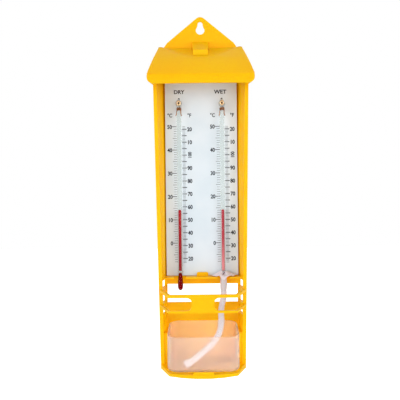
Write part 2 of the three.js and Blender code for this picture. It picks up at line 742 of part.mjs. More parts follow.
// Hollow rivet through the glass eye and the scale plate, flanged at both ends
function eyelet(x) {
  const [hole, barrel, flange] = [eyeletHoleDiameter / 2, eyeletDiameter / 2, eyeletFlangeDiameter / 2];
  const frontFlange = stemDepth + eyeThickness / 2 + seatGap;
  const backFlange = plateBackDepth - seatGap;
  const profile = [
    [hole, backFlange - eyeletFlangeThickness], [flange, backFlange - eyeletFlangeThickness],
    [flange, backFlange], [barrel, backFlange], [barrel, frontFlange], [flange, frontFlange],
    [flange, frontFlange + eyeletFlangeThickness], [hole, frontFlange + eyeletFlangeThickness],
    [hole, backFlange - eyeletFlangeThickness],
  ];
  const points = profile.map(([radius, depth]) => new THREE.Vector2(radius, -depth));
  const geometry = new THREE.LatheGeometry(points, roundSides);
  geometry.translate(x, 0, eyeLevel);
  return closed(geometry);
}

// Copper wire wound round the waist under the eye, its two ends laid down in front of the stem's edges
function tieWire(x) {
  const legDepth = Math.sqrt((stemRadius + wireDiameter) ** 2 - tieLegSpread ** 2);
  const leg = (side, splay, level) => at(x + side * (tieLegSpread + splay), stemDepth + legDepth, level);
  const steps = Math.round(tieTurns * 12);
  const coil = [];
  for (let i = 0; i <= steps; i += 1) {
    const turn = (i / steps) * tieTurns;
    const angle = (0.375 - turn) * 2 * Math.PI;
    const [across, out] = [tieRadius * Math.cos(angle), tieRadius * Math.sin(angle)];
    coil.push(at(x + across, stemDepth + out, tieCoilLevel + turn * tiePitch));
  }
  const coilTopLevel = tieCoilLevel + tieTurns * tiePitch;
  const path = new THREE.CatmullRomCurve3([
    leg(-1, tieSplay, tieFootLevel), leg(-1, 0, tieKneeLevel), leg(-1, 0, tieCoilLevel - 2 * wireDiameter),
    ...coil,
    leg(1, 0, coilTopLevel - wireDiameter), leg(1, 0, tieKneeLevel), leg(1, tieSplay, tieFootLevel),
  ]);
  return tube(path, wireDiameter, wireSides, 3 * steps);
}

// Wire staple round the dry thermometer's neck, its two legs through the plate
function neckClip(x) {
  const tail = plateBackDepth - neckClipTail;
  const leg = (side, depth) => at(x + side * neckClipRadius, depth, neckClipLevel);
  const ring = [1, 0.75, 0.5, 0.25, 0].map((share) => {
    const [across, out] = [Math.cos(share * Math.PI), Math.sin(share * Math.PI)];
    return at(x + neckClipRadius * across, stemDepth + neckClipRadius * out, neckClipLevel);
  });
  const path = new THREE.CatmullRomCurve3([
    leg(-1, tail), leg(-1, plateFrontDepth), ...ring, leg(1, plateFrontDepth), leg(1, tail),
  ], false, 'catmullrom', 0.5);
  return tube(path, clipWireDiameter, wireSides, 28);
}

// Radius of the bulb's profile at a level above its widest place, grown by a radial offset
function bulbRadiusAt(level, grow) {
  const upper = bulbProfile(grow).slice(3);
  const next = Math.max(1, upper.findIndex(([, pointLevel]) => pointLevel >= level));
  const [[lowRadius, lowLevel], [highRadius, highLevel]] = [upper[next - 1], upper[next]];
  return THREE.MathUtils.mapLinear(level, lowLevel, highLevel, lowRadius, highRadius);
}

// Cotton sleeve drawn over the wet bulb up to the shelf, closed below it
function wickSleeve(x) {
  const skin = (grow) => [
    ...bulbProfile(grow).filter(([, level]) => level < sleeveTopLevel),
    [bulbRadiusAt(sleeveTopLevel, grow), sleeveTopLevel],
  ];
  return turned([...skin(seatGap + sleeveThickness), ...skin(seatGap).reverse()], x);
}

class Winding extends THREE.Curve {
  constructor(x, radius) {
    super();
    this.x = x;
    this.radius = radius;
  }

  getPoint(t, target = new THREE.Vector3()) {
    const angle = t * threadTurns * 2 * Math.PI;
    const [across, out] = [Math.cos(angle) * this.radius, Math.sin(angle) * this.radius];
    const level = threadFootLevel + t * threadTurns * threadPitch;
    return target.set(this.x + across, -stemDepth - out, level);
  }
}

// Least gap between turns of a winding, measured between points more than half a turn apart
function leastGap(path, diameter) {
  const points = path.getPoints(48 * threadTurns);
  let least = Infinity;
  for (let i = 0; i < points.length; i += 1) {
    for (let j = i + 24; j < points.length; j += 1) {
      least = Math.min(least, points[i].distanceTo(points[j]) - diameter);
    }
  }
  return least;
}

// Thread wound round the sleeve's mouth
function wickThread(x) {
  const cloth = bulbRadiusAt(threadFootLevel, seatGap) + mouthThickness;
  const path = new Winding(x, cloth + seatGap / 2 + threadDiameter / 2);
  console.log(`wick_thread: least gap to itself ${leastGap(path, threadDiameter).toFixed(2)} mm`);
  return tube(path, threadDiameter, wireSides, 24 * threadTurns);
}

// Mouth of the wick's cotton: a collar round the neck that spreads over the shelf and hangs over its edge
function wickMouth(x) {
  const around = 40;
  const spreadShares = [0.15, 0.45, 0.8, 1];
  const collar = [neckLevel, threadFootLevel, shelfTopLevel + mouthRise + mouthThickness]
    .map((level) => [bulbRadiusAt(level, seatGap), level]);
  const [rootRadius] = collar[collar.length - 1];
  const rings = [];
  const addRing = (pointAt) => {
    const points = [];
    for (let i = 0; i < around; i += 1) {
      const angle = (i / around) * 2 * Math.PI;
      points.push(pointAt(Math.cos(angle), Math.sin(angle), angle));
    }
    rings.push(points);
  };
  const spread = (share, lift) => addRing((cos, sin, angle) => {
    const deep = sin > 0 ? mouthFrontReach : mouthBackReach;
    const reach = 1 / Math.hypot(cos / mouthReach, sin / deep);
    const radius = THREE.MathUtils.lerp(rootRadius + lift, reach, share);
    const depth = stemDepth + radius * sin;
    const past = Math.max(0, depth - shelfDepth - seatGap) / (stemDepth + mouthFrontReach - shelfDepth - seatGap);
    const fold = mouthFold * share * (1 + Math.sin(mouthFolds * angle));
    const level = shelfTopLevel + seatGap + mouthRise * (1 - share) ** 2 + fold - mouthDroop * past ** 2;
    return at(x + radius * cos, depth, level + lift);
  });
  const wrap = (radius, level) => addRing((cos, sin) => at(x + radius * cos, stemDepth + radius * sin, level));
  spreadShares.slice().reverse().forEach((share) => spread(share, 0));
  collar.slice().reverse().forEach(([radius, level]) => wrap(radius, level));
  collar.forEach(([radius, level]) => wrap(radius + mouthThickness, level));
  spreadShares.forEach((share) => spread(share, mouthThickness));
  const index = [];
  rings.forEach((ring, r) => {
    const next = (r + 1) % rings.length;
    for (let i = 0; i < around; i += 1) {
      const j = (i + 1) % around;
      const [a, b, c, d] = [r * around + i, r * around + j, next * around + j, next * around + i];
      index.push(a, b, c, a, c, d);
    }
  });
  const geometry = new THREE.BufferGeometry();
  const positions = rings.flat().flatMap((point) => point.toArray());
  geometry.setAttribute('position', new THREE.Float32BufferAttribute(positions, 3));
  geometry.setIndex(index);
  return closed(geometry);
}

function wickTail() {
  const path = new THREE.CatmullRomCurve3(tailRoute.map(([x, depth, level]) => at(x, depth, level)));
  console.log(`wick_tail: length ${path.getLength().toFixed(1)} mm`);
  return tube(path, tailDiameter, smallRoundSides, 18);
}

// Ring round the reservoir: a rectangle with round corners, drawn in by an inset
function reservoirRing(inset, levelAt) {
  const radius = reservoirCornerRadius - inset;
  const centreX = reservoirHalfWidth - reservoirCornerRadius;
  const nearCentre = reservoirBackDepth + reservoirCornerRadius;
  const farCentre = reservoirFrontDepth - reservoirCornerRadius;
  const steps = 4;
  const ring = [];
  const corners = [[1, nearCentre], [-1, nearCentre], [-1, farCentre], [1, farCentre]];
  corners.forEach(([side, centreDepth], quarter) => {
    for (let i = 0; i <= steps; i += 1) {
      const angle = (quarter + i / steps) * Math.PI / 2;
      const depth = centreDepth - radius * Math.sin(angle);
      ring.push(at(side * centreX + radius * Math.cos(angle), depth, levelAt(depth)));
    }
  });
  return ring;
}

// Open box with round corners and a rim that falls towards the front
function reservoirBody() {
  const rim = (depth) => THREE.MathUtils.mapLinear(
    depth, reservoirBackDepth, reservoirFrontDepth, reservoirBackRimLevel, reservoirFrontRimLevel,
  );
  const footRings = (wall) => [0, 1, 2, 3].map((i) => {
    const angle = i * Math.PI / 6;
    const radius = reservoirFootRadius - wall;
    const level = reservoirFootLevel + wall + radius * (1 - Math.cos(angle));
    return reservoirRing(wall + radius * (1 - Math.sin(angle)), () => level);
  });
  const outside = [...footRings(0), reservoirRing(0, rim)];
  const inside = [...footRings(reservoirWall), reservoirRing(reservoirWall, rim)].reverse();
  return closed(loft([...outside, ...inside]));
}

const finishes = {
  yellowPlastic: { color: 0xfcc418, roughness: 0.42, metalness: 0 },
  plateWhite: { color: 0xe9edf0, roughness: 0.5, metalness: 0 },
  glass: { color: 0xd8e2de, roughness: 0.06, metalness: 0, transparent: true, opacity: 0.4 },
  redSpirit: { color: 0xb0202a, roughness: 0.2, metalness: 0 },
  brass: { color: 0xd8b878, roughness: 0.35, metalness: 1 },
  copper: { color: 0x9a6a44, roughness: 0.4, metalness: 1 },
  steel: { color: 0xc8c4be, roughness: 0.35, metalness: 1 },
  cotton: { color: 0xe8e2e4, roughness: 0.95, metalness: 0 },
  frosted: { color: 0xf2e6dc, roughness: 0.6, metalness: 0, transparent: true, opacity: 0.55 },
};

// All pieces, lowered so that the nail's seat in the keyhole is the origin
const group = new THREE.Group();
group.position.z = -nailSeatLevel;

function place(name, geometry, finish) {
  const mesh = new THREE.Mesh(geometry, new THREE.MeshStandardMaterial(finishes[finish]));
  mesh.name = name;
  group.add(mesh);
}

place('case', caseBody(), 'yellowPlastic');
place('hood', hoodBody(), 'yellowPlastic');
place('scale_plate', scalePlate(), 'plateWhite');
for (const [name, x] of stemPlaces) {
  place(`${name}_thermometer_glass`, thermometerGlass(x), 'glass');
  place(`${name}_bulb_spirit`, bulbSpirit(x), 'redSpirit');
  place(`${name}_spirit_column`, boreCylinder(x, columnFootLevel, restLevel - seatGap), 'redSpirit');
  place(`${name}_meniscus`, boreCylinder(x, restLevel, restLevel + meniscusHeight), 'redSpirit');
  place(`${name}_eyelet`, eyelet(x), 'brass');
  place(`${name}_tie_wire`, tieWire(x), 'copper');
}
const [[, dryX], [, wetX]] = stemPlaces;
place('dry_neck_clip', neckClip(dryX), 'steel');
place('wick_sleeve', wickSleeve(wetX), 'cotton');
place('wick_thread', wickThread(wetX), 'cotton');
place('wick_mouth', wickMouth(wetX), 'cotton');
place('wick_tail', wickTail(), 'cotton');
place('reservoir', reservoirBody(), 'frosted');

export default group;
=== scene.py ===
"""Looks of the wet and dry bulb hygrometer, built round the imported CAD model.

Sizes are in millimetres. A level is a height above the case's underside and a depth is a distance
in front of the wall, as in the CAD source; at() turns them into the row frame in metres.
"""

import math
import random

import bmesh
import bpy
from mathutils import Matrix, Vector
from mathutils.geometry import interpolate_bezier


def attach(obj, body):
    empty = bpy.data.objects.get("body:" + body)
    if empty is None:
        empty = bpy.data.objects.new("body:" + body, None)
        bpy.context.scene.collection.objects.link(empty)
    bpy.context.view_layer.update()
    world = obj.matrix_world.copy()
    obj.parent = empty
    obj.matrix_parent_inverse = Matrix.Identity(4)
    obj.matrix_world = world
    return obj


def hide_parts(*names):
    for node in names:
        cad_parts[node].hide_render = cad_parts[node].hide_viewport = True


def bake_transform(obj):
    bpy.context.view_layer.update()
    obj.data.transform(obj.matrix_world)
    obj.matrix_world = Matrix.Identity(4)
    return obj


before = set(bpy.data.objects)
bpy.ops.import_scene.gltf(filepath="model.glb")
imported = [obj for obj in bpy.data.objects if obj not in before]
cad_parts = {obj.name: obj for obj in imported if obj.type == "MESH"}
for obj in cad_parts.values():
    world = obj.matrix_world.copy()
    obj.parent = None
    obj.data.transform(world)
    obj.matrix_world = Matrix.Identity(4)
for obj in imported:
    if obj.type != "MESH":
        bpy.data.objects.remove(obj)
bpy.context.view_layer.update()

MM = 0.001
SEAT_LEVEL = 318.5

# Camera: where the photograph was taken from
CAMERA_X = -1.7
CAMERA_DEPTH = 450
CAMERA_LEVEL = 152.2
CAMERA_ROLL = 0.58
CAMERA_LENS = 42.68
CAMERA_NEAR = 0.01
SENSOR_WIDTH = 36

# Thermometers
STEM_X = {"dry": -20.6, "wet": 19.4}
STEM_DEPTH = 9.6
STEM_RADIUS = 2.2
BORE_RADIUS = 1.14
NECK_LEVEL = 85.4
NECK_RADIUS = 1.5
SHOULDER_LEVEL = 86.7
WAIST_LEVEL = 235
WAIST_RADIUS = 1.3
STEM_TOP_LEVEL = 239.6
EYE_LEVEL = 242
BULB_FOOT_LEVEL = 68.5
BULB_RADIUS = 2.45
# Shares of the bulb's radius and of the rise from its foot to the neck
BULB_SHARES = [(0, 0), (0.3, 0.008), (0.5, 0.03), (0.7, 0.06), (0.86, 0.1), (0.96, 0.16), (1, 0.22),
               (1, 0.32), (0.97, 0.42), (0.91, 0.56), (0.85, 0.68), (0.7, 0.88)]
BULB_UPPER_START = 7

# Scale
SCALE_X = (-20, 20)
PLATE_FRONT_DEPTH = 6
ZERO_LEVEL = 112
PER_DEGREE = 2.18
READING = 14
REST_LEVEL = ZERO_LEVEL + READING * PER_DEGREE


def at(x, depth, level):
    return Vector((x * MM, -depth * MM, (level - SEAT_LEVEL) * MM))


def lerp(a, b, share):
    return a + (b - a) * share


def between(a, b, share):
    return tuple(lerp(p, q, share) for p, q in zip(a, b))


def spread(a, b, steps):
    """The points between a and b that cut the way into equal steps, without a and b."""
    return [between(a, b, i / steps) for i in range(1, steps)]


def circle(steps):
    """Angles of one turn in equal steps, the first at 0."""
    return [2 * math.pi * i / steps for i in range(steps)]


def waves(table, place):
    """Sum of sine waves, each given by its height, frequency and phase."""
    return sum(height * math.sin(frequency * place + phase) for height, frequency, phase in table)


def placed(name, data):
    """A new object in the scene."""
    obj = bpy.data.objects.new(name, data)
    bpy.context.scene.collection.objects.link(obj)
    return obj


# ---------------------------------------------------------------- camera

def make_camera():
    data = bpy.data.cameras.new("camera")
    data.sensor_width = SENSOR_WIDTH
    data.lens = CAMERA_LENS
    data.clip_start = CAMERA_NEAR
    camera = placed("camera", data)
    camera.location = at(CAMERA_X, CAMERA_DEPTH, CAMERA_LEVEL)
    camera.rotation_euler = (math.pi / 2, math.radians(CAMERA_ROLL), 0)
    bpy.context.scene.camera = camera


# ---------------------------------------------------------------- materials

class Look:
    """A Principled material and the node helpers that give it its detail."""

    def __init__(self, name, colour, roughness, **sockets):
        self.material = bpy.data.materials.new(name)
        self.material.use_nodes = True
        self.nodes = self.material.node_tree.nodes
        self.links = self.material.node_tree.links
        self.shader = self.nodes["Principled BSDF"]
        self.shader.inputs["Base Color"].default_value = linear(colour)
        self.shader.inputs["Roughness"].default_value = roughness
        for socket, value in sockets.items():
            self.shader.inputs[socket.replace("_", " ")].default_value = value
        self.height = None

    def coordinates(self, source, stretch):
        texture = self.nodes.new("ShaderNodeTexCoord")
        mapping = self.nodes.new("ShaderNodeMapping")
        mapping.inputs["Scale"].default_value = stretch
        self.links.new(texture.outputs[source], mapping.inputs["Vector"])
        return mapping.outputs["Vector"]

    def noise(self, per_metre, detail, stretch=(1, 1, 1)):
        node = self.nodes.new("ShaderNodeTexNoise")
        node.inputs["Scale"].default_value = per_metre
        node.inputs["Detail"].default_value = detail
        self.links.new(self.coordinates("Object", stretch), node.inputs["Vector"])
        return node.outputs["Fac"]

    def wave(self, direction, distortion, stretch):
        """Bands over the UV map, closer together the more it is stretched."""
        node = self.nodes.new("ShaderNodeTexWave")
        node.bands_direction = direction
        node.inputs["Scale"].default_value = 1
        node.inputs["Distortion"].default_value = distortion
        self.links.new(self.coordinates("UV", stretch), node.inputs["Vector"])
        return node.outputs["Fac"]

    def remap(self, value, low, high, start=0.35, end=0.65):
        """Runs from low to high as the value runs from start to end, where most of a noise lies."""
        node = self.nodes.new("ShaderNodeMapRange")
        node.inputs["From Min"].default_value = start
        node.inputs["From Max"].default_value = end
        node.inputs["To Min"].default_value = low
        node.inputs["To Max"].default_value = high
        self.links.new(value, node.inputs["Value"])
        return node.outputs["Result"]

    def maths(self, operation, a, b):
        node = self.nodes.new("ShaderNodeMath")
        node.operation = operation
        for socket, value in zip(node.inputs, (a, b)):
            if isinstance(value, (int, float)):
                socket.default_value = value
            else:
                self.links.new(value, socket)
        return node.outputs[0]

    def tint(self, share, first, second):
        """Base colour that runs from first to second as share runs from 0 to 1."""
        node = self.nodes.new("ShaderNodeMix")
        node.data_type = "RGBA"
        colours = [socket for socket in node.inputs if socket.type == "RGBA"]
        for socket, colour in zip(colours, (first, second)):
            if isinstance(colour, bpy.types.NodeSocket):
                self.links.new(colour, socket)
            else:
                socket.default_value = linear(colour)
        self.links.new(share, node.inputs["Factor"])
        result = next(socket for socket in node.outputs if socket.type == "RGBA")
        self.links.new(result, self.shader.inputs["Base Color"])
        return result

    def rough(self, value):
        self.links.new(value, self.shader.inputs["Roughness"])

    def bump(self, value, distance_mm, strength):
        node = self.nodes.new("ShaderNodeBump")
        node.inputs["Strength"].default_value = strength
        node.inputs["Distance"].default_value = distance_mm * MM
        self.links.new(value, node.inputs["Height"])
        if self.height:
            self.links.new(self.height, node.inputs["Normal"])
        self.height = node.outputs["Normal"]
        self.links.new(self.height, self.shader.inputs["Normal"])

    def clear_shadow(self, share):
        """Lets this share of the light through in a shadow, as clear plastic and glass do."""
        path = self.nodes.new("ShaderNodeLightPath")
        clear = self.nodes.new("ShaderNodeBsdfTransparent")
        mix = self.nodes.new("ShaderNodeMixShader")
        self.links.new(self.maths("MULTIPLY", path.outputs["Is Shadow Ray"], share), mix.inputs["Fac"])
        self.links.new(self.shader.outputs[0], mix.inputs[1])
        self.links.new(clear.outputs[0], mix.inputs[2])
        self.links.new(mix.outputs[0], self.nodes["Material Output"].inputs["Surface"])


def linear(colour):
    """Linear colour, alpha 1, from sRGB values of 0 to 255."""
    def channel(value):
        share = value / 255
        return share / 12.92 if share <= 0.04045 else ((share + 0.055) / 1.055) ** 2.4
    return (*map(channel, colour), 1.0)


def moulded_yellow():
    look = Look("moulded_yellow", (253, 190, 0), 0.38, Specular_IOR_Level=0.12, Subsurface_Weight=0.4,
                Subsurface_Scale=0.004)
    look.shader.inputs["Subsurface Radius"].default_value = (1, 0.5, 0.1)
    broad = look.remap(look.noise(22, 2), 0, 1)
    fine = look.remap(look.noise(420, 3), 0, 1)
    warm = look.tint(broad, (253, 194, 0), (252, 187, 0))
    look.tint(look.maths("MULTIPLY", fine, 0.35), warm, (250, 181, 2))
    look.rough(look.remap(look.noise(160, 3), 0.32, 0.44))
    look.bump(look.noise(900, 2), 0.03, 0.35)
    look.bump(look.noise(60, 2, stretch=(1, 1, 0.3)), 0.12, 0.25)
    return look.material


def plate_white():
    look = Look("plate_white", (214, 225, 233), 0.42, Specular_IOR_Level=0.3)
    clouds = look.remap(look.noise(45, 4), 0, 1)
    look.tint(clouds, (217, 227, 234), (210, 222, 230))
    look.rough(look.remap(look.noise(240, 4), 0.36, 0.5))
    look.bump(look.noise(1400, 2), 0.012, 0.4)
    return look.material


def printing_ink(name, dark, faded):
    look = Look(name, dark, 0.7, Specular_IOR_Level=0.1)
    look.tint(look.remap(look.noise(2600, 3), 0, 0.8), dark, faded)
    look.bump(look.noise(3000, 2), 0.01, 0.4)
    return look.material


def drawn_glass():
    look = Look("drawn_glass", (236, 240, 238), 0.04, Transmission_Weight=1.0, IOR=1.3,
                Specular_IOR_Level=0.12, Specular_Tint=(0.25, 0.25, 0.25, 1))
    streaks = look.noise(500, 2, stretch=(1, 1, 0.04))
    look.tint(look.remap(streaks, 0, 1), (242, 245, 244), (230, 236, 234))
    look.bump(streaks, 0.012, 0.12)
    look.clear_shadow(0.93)
    return look.material


def dyed_spirit(name, deep, pale, low_level, high_level, painted_glow):
    """Red spirit that is paler towards low_level, painted light along the column; its emission is a painted
    glow, though the spirit is no lamp.
    """
    look = Look(name, deep, 0.3, IOR=1.36, Specular_IOR_Level=0.04)
    texture = look.nodes.new("ShaderNodeTexCoord")
    split = look.nodes.new("ShaderNodeSeparateXYZ")
    look.links.new(texture.outputs["Object"], split.inputs[0])
    low, high = (at(0, 0, level).z for level in (low_level, high_level))
    share = look.remap(split.outputs["Z"], 0, 1, low, high)
    grain = look.maths("MULTIPLY", look.noise(700, 2), 0.12)
    # Painted light: the colour runs from the pale one to the deep one as the level rises.
    colour = look.tint(look.maths("SUBTRACT", share, grain), pale, deep)
    # Painted glow: the emission lights the spirit from within.
    look.links.new(colour, look.shader.inputs["Emission Color"])
    look.shader.inputs["Emission Strength"].default_value = painted_glow
    return look.material


def worn_metal(name, bright, dull, roughness):
    look = Look(name, bright, roughness, Metallic=1.0)
    stain = look.remap(look.noise(900, 4), 0, 1)
    look.tint(stain, bright, dull)
    look.rough(look.remap(look.noise(1500, 3), roughness * 0.8, roughness * 1.5))
    look.bump(look.noise(2400, 2), 0.02, 0.4)
    return look.material


def knitted_cotton(name, light, shade, rows, wales):
    """Knit laid out by UV: u runs once round or across the piece and v along it."""
    look = Look(name, light, 0.86, Sheen_Weight=0.35, Subsurface_Weight=0.25)
    look.shader.inputs["Subsurface Radius"].default_value = (0.0012, 0.0009, 0.0009)
    along = look.wave("Y", 0.6, (wales, rows, 1))
    across = look.wave("X", 0.4, (wales, rows * 0.05, 1))
    knit = look.maths("MULTIPLY", along, across)
    fibre = look.noise(3200, 3, stretch=(1, 1, 0.4))
    # Painted shade: the knit's hollows take the shade colour and its loops the light one, with random fibre
    # tone over both.
    look.tint(look.remap(look.maths("ADD", knit, look.maths("MULTIPLY", fibre, 0.5)), 0, 1, 0.2, 1.1),
              shade, light)
    look.bump(knit, 0.16, 0.8)
    look.bump(fibre, 0.06, 0.5)
    return look.material


def frosted_plastic():
    look = Look("frosted_plastic", (250, 243, 240), 0.4, Transmission_Weight=0.88, IOR=1.12)
    haze = look.remap(look.noise(35, 3), 0, 1)
    look.tint(haze, (252, 246, 243), (248, 240, 236))
    look.rough(look.remap(look.noise(260, 3), 0.36, 0.5))
    look.bump(look.noise(1100, 2), 0.03, 0.4)
    look.clear_shadow(0.92)
    return look.material


# ---------------------------------------------------------------- mesh helpers

def piece(name, mesh, material, body, slot, *nodes):
    """A finished piece: named, dressed, riding on its body and standing for its CAD nodes."""
    obj = placed(name, mesh)
    mesh.materials.clear()
    mesh.materials.append(material)
    if body:
        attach(obj, body)
    if nodes:
        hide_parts(*nodes)
    return obj


def mesh_of(name, points, faces, smooth=True):
    mesh = bpy.data.meshes.new(name)
    mesh.from_pydata([tuple(point) for point in points], [], faces)
    mesh.validate()
    if smooth:
        mesh.polygons.foreach_set("use_smooth", [True] * len(mesh.polygons))
    mesh.update()
    return mesh


def skin(name, rings, closed=True, capped=True, uv=False):
    """Quads over rings of as many points each, with a fan on the two end rings."""
    count = len(rings[0])
    points = [point for ring in rings for point in ring]
    faces, marks = [], []
    steps = count if closed else count - 1
    for r in range(len(rings) - 1):
        for i in range(steps):
            j = (i + 1) % count
            faces.append((r * count + i, r * count + j, (r + 1) * count + j, (r + 1) * count + i))
            left, right = i / steps, (i + 1) / steps
            marks.append([(left, r), (right, r), (right, r + 1), (left, r + 1)])
    if capped:
        for ring, start in ((rings[0], 0), (rings[-1], (len(rings) - 1) * count)):
            middle = sum((Vector(point) for point in ring), Vector()) / count
            points.append(middle)
            for i in range(steps):
                j = (i + 1) % count
                pair = (start + j, start + i) if start == 0 else (start + i, start + j)
                faces.append((*pair, len(points) - 1))
                marks.append([(0.5, 0)] * 3)
    mesh = mesh_of(name, points, faces)
    if uv:
        rows = max(1, len(rings) - 1)
        layer = mesh.uv_layers.new(name="UVMap")
        for polygon, corners in zip(mesh.polygons, marks):
            for loop, (u, v) in zip(polygon.loop_indices, corners):
                layer.data[loop].uv = (u, v / rows)
    return mesh


def outward(mesh, merge_mm=0):
    """Turns the faces outwards, once points nearer than merge_mm are merged."""
    work = bmesh.new()
    work.from_mesh(mesh)
    if merge_mm:
        bmesh.ops.remove_doubles(work, verts=work.verts, dist=merge_mm * MM)
    bmesh.ops.recalc_face_normals(work, faces=work.faces)
    work.to_mesh(mesh)
    work.free()
    return mesh


def turned(name, profile, x, sides=32):
    """Solid of revolution about a stem's axis, from (radius, level) points."""
    return outward(skin(name, [[at(x + radius * math.cos(a), STEM_DEPTH - radius * math.sin(a), level)
                                for a in circle(sides)] for radius, level in profile]))


def smooth_path(points, per_span=8):
    """Points along one smooth curve through the given ones."""
    points = [Vector(p) for p in points]
    ends = [points[0] * 2 - points[1], *points, points[-1] * 2 - points[-2]]
    path = []
    for i in range(1, len(ends) - 2):
        before, a, b, after = ends[i - 1:i + 3]
        span = interpolate_bezier(a, a + (b - before) / 6, b - (after - a) / 6, b, per_span + 1)
        path += span[:-1]
    return [*path, points[-1]]


WOBBLE_LOBES = 3
WOBBLE_TWIST = 23
SIDEWAYS = 0.9


def swept(name, path, section, sides=12, uv=True):
    """Tube along a path; section(share) gives its half width, half thickness and wobble at a share."""
    rings, up = [], None
    for i, point in enumerate(path):
        ahead = (path[min(i + 1, len(path) - 1)] - path[max(i - 1, 0)]).normalized()
        if up is None:
            up = Vector((1, 0, 0)) if abs(ahead.x) < SIDEWAYS else ahead.orthogonal()
        up = (up - ahead * up.dot(ahead)).normalized()
        across = ahead.cross(up)
        wide, thick, wobble = section(i / (len(path) - 1))
        ring = []
        for angle in circle(sides):
            grow = 1 + wobble * math.sin(WOBBLE_LOBES * angle + WOBBLE_TWIST * i / len(path))
            ring.append(point + (up * wide * math.cos(angle) + across * thick * math.sin(angle)) * grow * MM)
        rings.append(ring)
    return outward(skin(name, rings, uv=uv))


def wire(name, points, radius, material, body, slot, *nodes):
    mesh = swept(name, smooth_path(points), lambda share: (radius, radius, 0), uv=False)
    piece(name, mesh, material, body, slot, *nodes)


def joined(name, meshes):
    """One mesh out of several."""
    work = bmesh.new()
    for mesh in meshes:
        work.from_mesh(mesh)
    whole = bpy.data.meshes.new(name)
    work.to_mesh(whole)
    work.free()
    return whole


SAME_POINT = 0.002
FLAT_DEGREES = 0.6
EDGE_SEGMENTS = 2
EDGE_DEGREES = 32
CASE_SMOOTH_DEGREES = 30
NORMALS_WEIGHT = 80


def bevelled_copy(node, name, radius, material, body, slot):
    """The CAD node's own shape, its edges rounded as a moulding tool leaves them, or cut sharp at 0."""
    work = bmesh.new()
    work.from_mesh(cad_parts[node].data)
    bmesh.ops.remove_doubles(work, verts=work.verts, dist=SAME_POINT * MM)
    bmesh.ops.dissolve_limit(work, angle_limit=math.radians(FLAT_DEGREES), verts=work.verts,
                             edges=work.edges, use_dissolve_boundaries=False)
    mesh = bpy.data.meshes.new(name)
    work.to_mesh(mesh)
    work.free()
    obj = piece(name, mesh, material, body, slot, node)
    if not radius:
        return
    bevel = obj.modifiers.new("edges", "BEVEL")
    bevel.width = radius * MM
    bevel.segments = EDGE_SEGMENTS
    bevel.limit_method = "ANGLE"
    bevel.angle_limit = math.radians(EDGE_DEGREES)
    bevel.miter_outer = "MITER_ARC"
    bevel.use_clamp_overlap = True
    smooth_by_angle(obj, CASE_SMOOTH_DEGREES)


def smooth_by_angle(obj, degrees):
    """Applies the modifiers, then shades smooth except over edges sharper than this."""
    graph = bpy.context.evaluated_depsgraph_get()
    made = bpy.data.meshes.new_from_object(obj.evaluated_get(graph))
    obj.modifiers.clear()
    obj.data = made
    made.polygons.foreach_set("use_smooth", [True] * len(made.polygons))
    made.set_sharp_from_angle(angle=math.radians(degrees))
    weighted = obj.modifiers.new("normals", "WEIGHTED_NORMAL")
    weighted.keep_sharp = True
    weighted.weight = NORMALS_WEIGHT


# ---------------------------------------------------------------- wick

TAIL_ROUTE = [(19.4, 9.6, 67.5), (19.5, 9.7, 65), (19.1, 10, 61), (17.9, 11, 56), (16.9, 12.2, 51),
              (16.6, 13.6, 46), (16.7, 15, 41), (16.1, 16.8, 36), (14.5, 19, 31.2), (11.3, 22, 26.6),
              (7.2, 25, 22.6), (2.4, 28, 19), (-2.6, 31, 15.8), (-7.6, 33.8, 12.8), (-12, 35.9, 10.5),
              (-15.8, 37.4, 9.4)]
TAIL_DIAMETER = 5.2
TAIL_WIDTH = 5.5
TAIL_THICKNESS = 4.7
TAIL_STEPS = 10
TAIL_SIDES = 28
TAIL_WOBBLE = 0.03
TAIL_SWELLS = [(0.05, 19, 0), (0.03, 47, 1)]
TAIL_FLATTENING = 5
TAIL_SPREAD_START = 0.86
TAIL_SPREAD = 0.3
FRAY_STRANDS = 46
FRAY_ROOT = 1.2
FRAY_REACH = (1.6, 3.4)
FRAY_BEND = 0.7
FRAY_LIFT = (-0.6, 0.5)
FRAY_BUNDLE = 0.48
FRAY_ROOT_RADIUS = 0.13
FRAY_TAPER = 0.07
SHELF_TOP_LEVEL = 81.4
SHELF_DEPTH = 16
SLEEVE_GAP = 0.3
SLEEVE_WALL = 0.4
# Radius and rise over the foot
SLEEVE_FOOT = [(0, 0), (2.4, 0), (2.72, 0.35), (2.85, 1.1), (2.95, 2)]
SLEEVE_SIDES = 48
SLEEVE_RIB = 0.05
SLEEVE_RIBS = (12, 5)
SLEEVE_RIB_TWIST = 0.7
SLEEVE_ROWS = 4
THREAD_RADIUS = 0.25
THREAD_FOOT_LEVEL = 83.3
THREAD_TURNS = 2.5
THREAD_PITCH = 0.95
THREAD_STEPS = 40
THREAD_WOBBLE = 0.06
THREAD_SIDES = 8
THREAD_END_RADIUS = 0.36
# Aside of the stem, in front of the winding, and level
THREAD_ENDS = [[(0.9, 0.2, 85.4), (0.1, 0.7, 84.4), (-0.9, 1.2, 83.1)],
               [(2.6, 0.9, 83), (1.9, 2, 82.4), (0.9, 3.6, 82.1)]]


def bulb_profile(grow):
    foot = BULB_FOOT_LEVEL - grow
    rise = NECK_LEVEL - foot
    points = [(share * BULB_RADIUS + (grow if share else 0), foot + up * rise) for share, up in BULB_SHARES]
    return [*points, (NECK_RADIUS + grow, NECK_LEVEL)]


def bulb_radius(level, grow):
    """Radius of the bulb's upper half at a level, grown by a radial offset."""
    upper = bulb_profile(grow)[BULB_UPPER_START:]
    for (low_radius, low_level), (high_radius, high_level) in zip(upper, upper[1:]):
        if level <= high_level:
            return lerp(low_radius, high_radius, (level - low_level) / (high_level - low_level))
    return upper[-1][0]


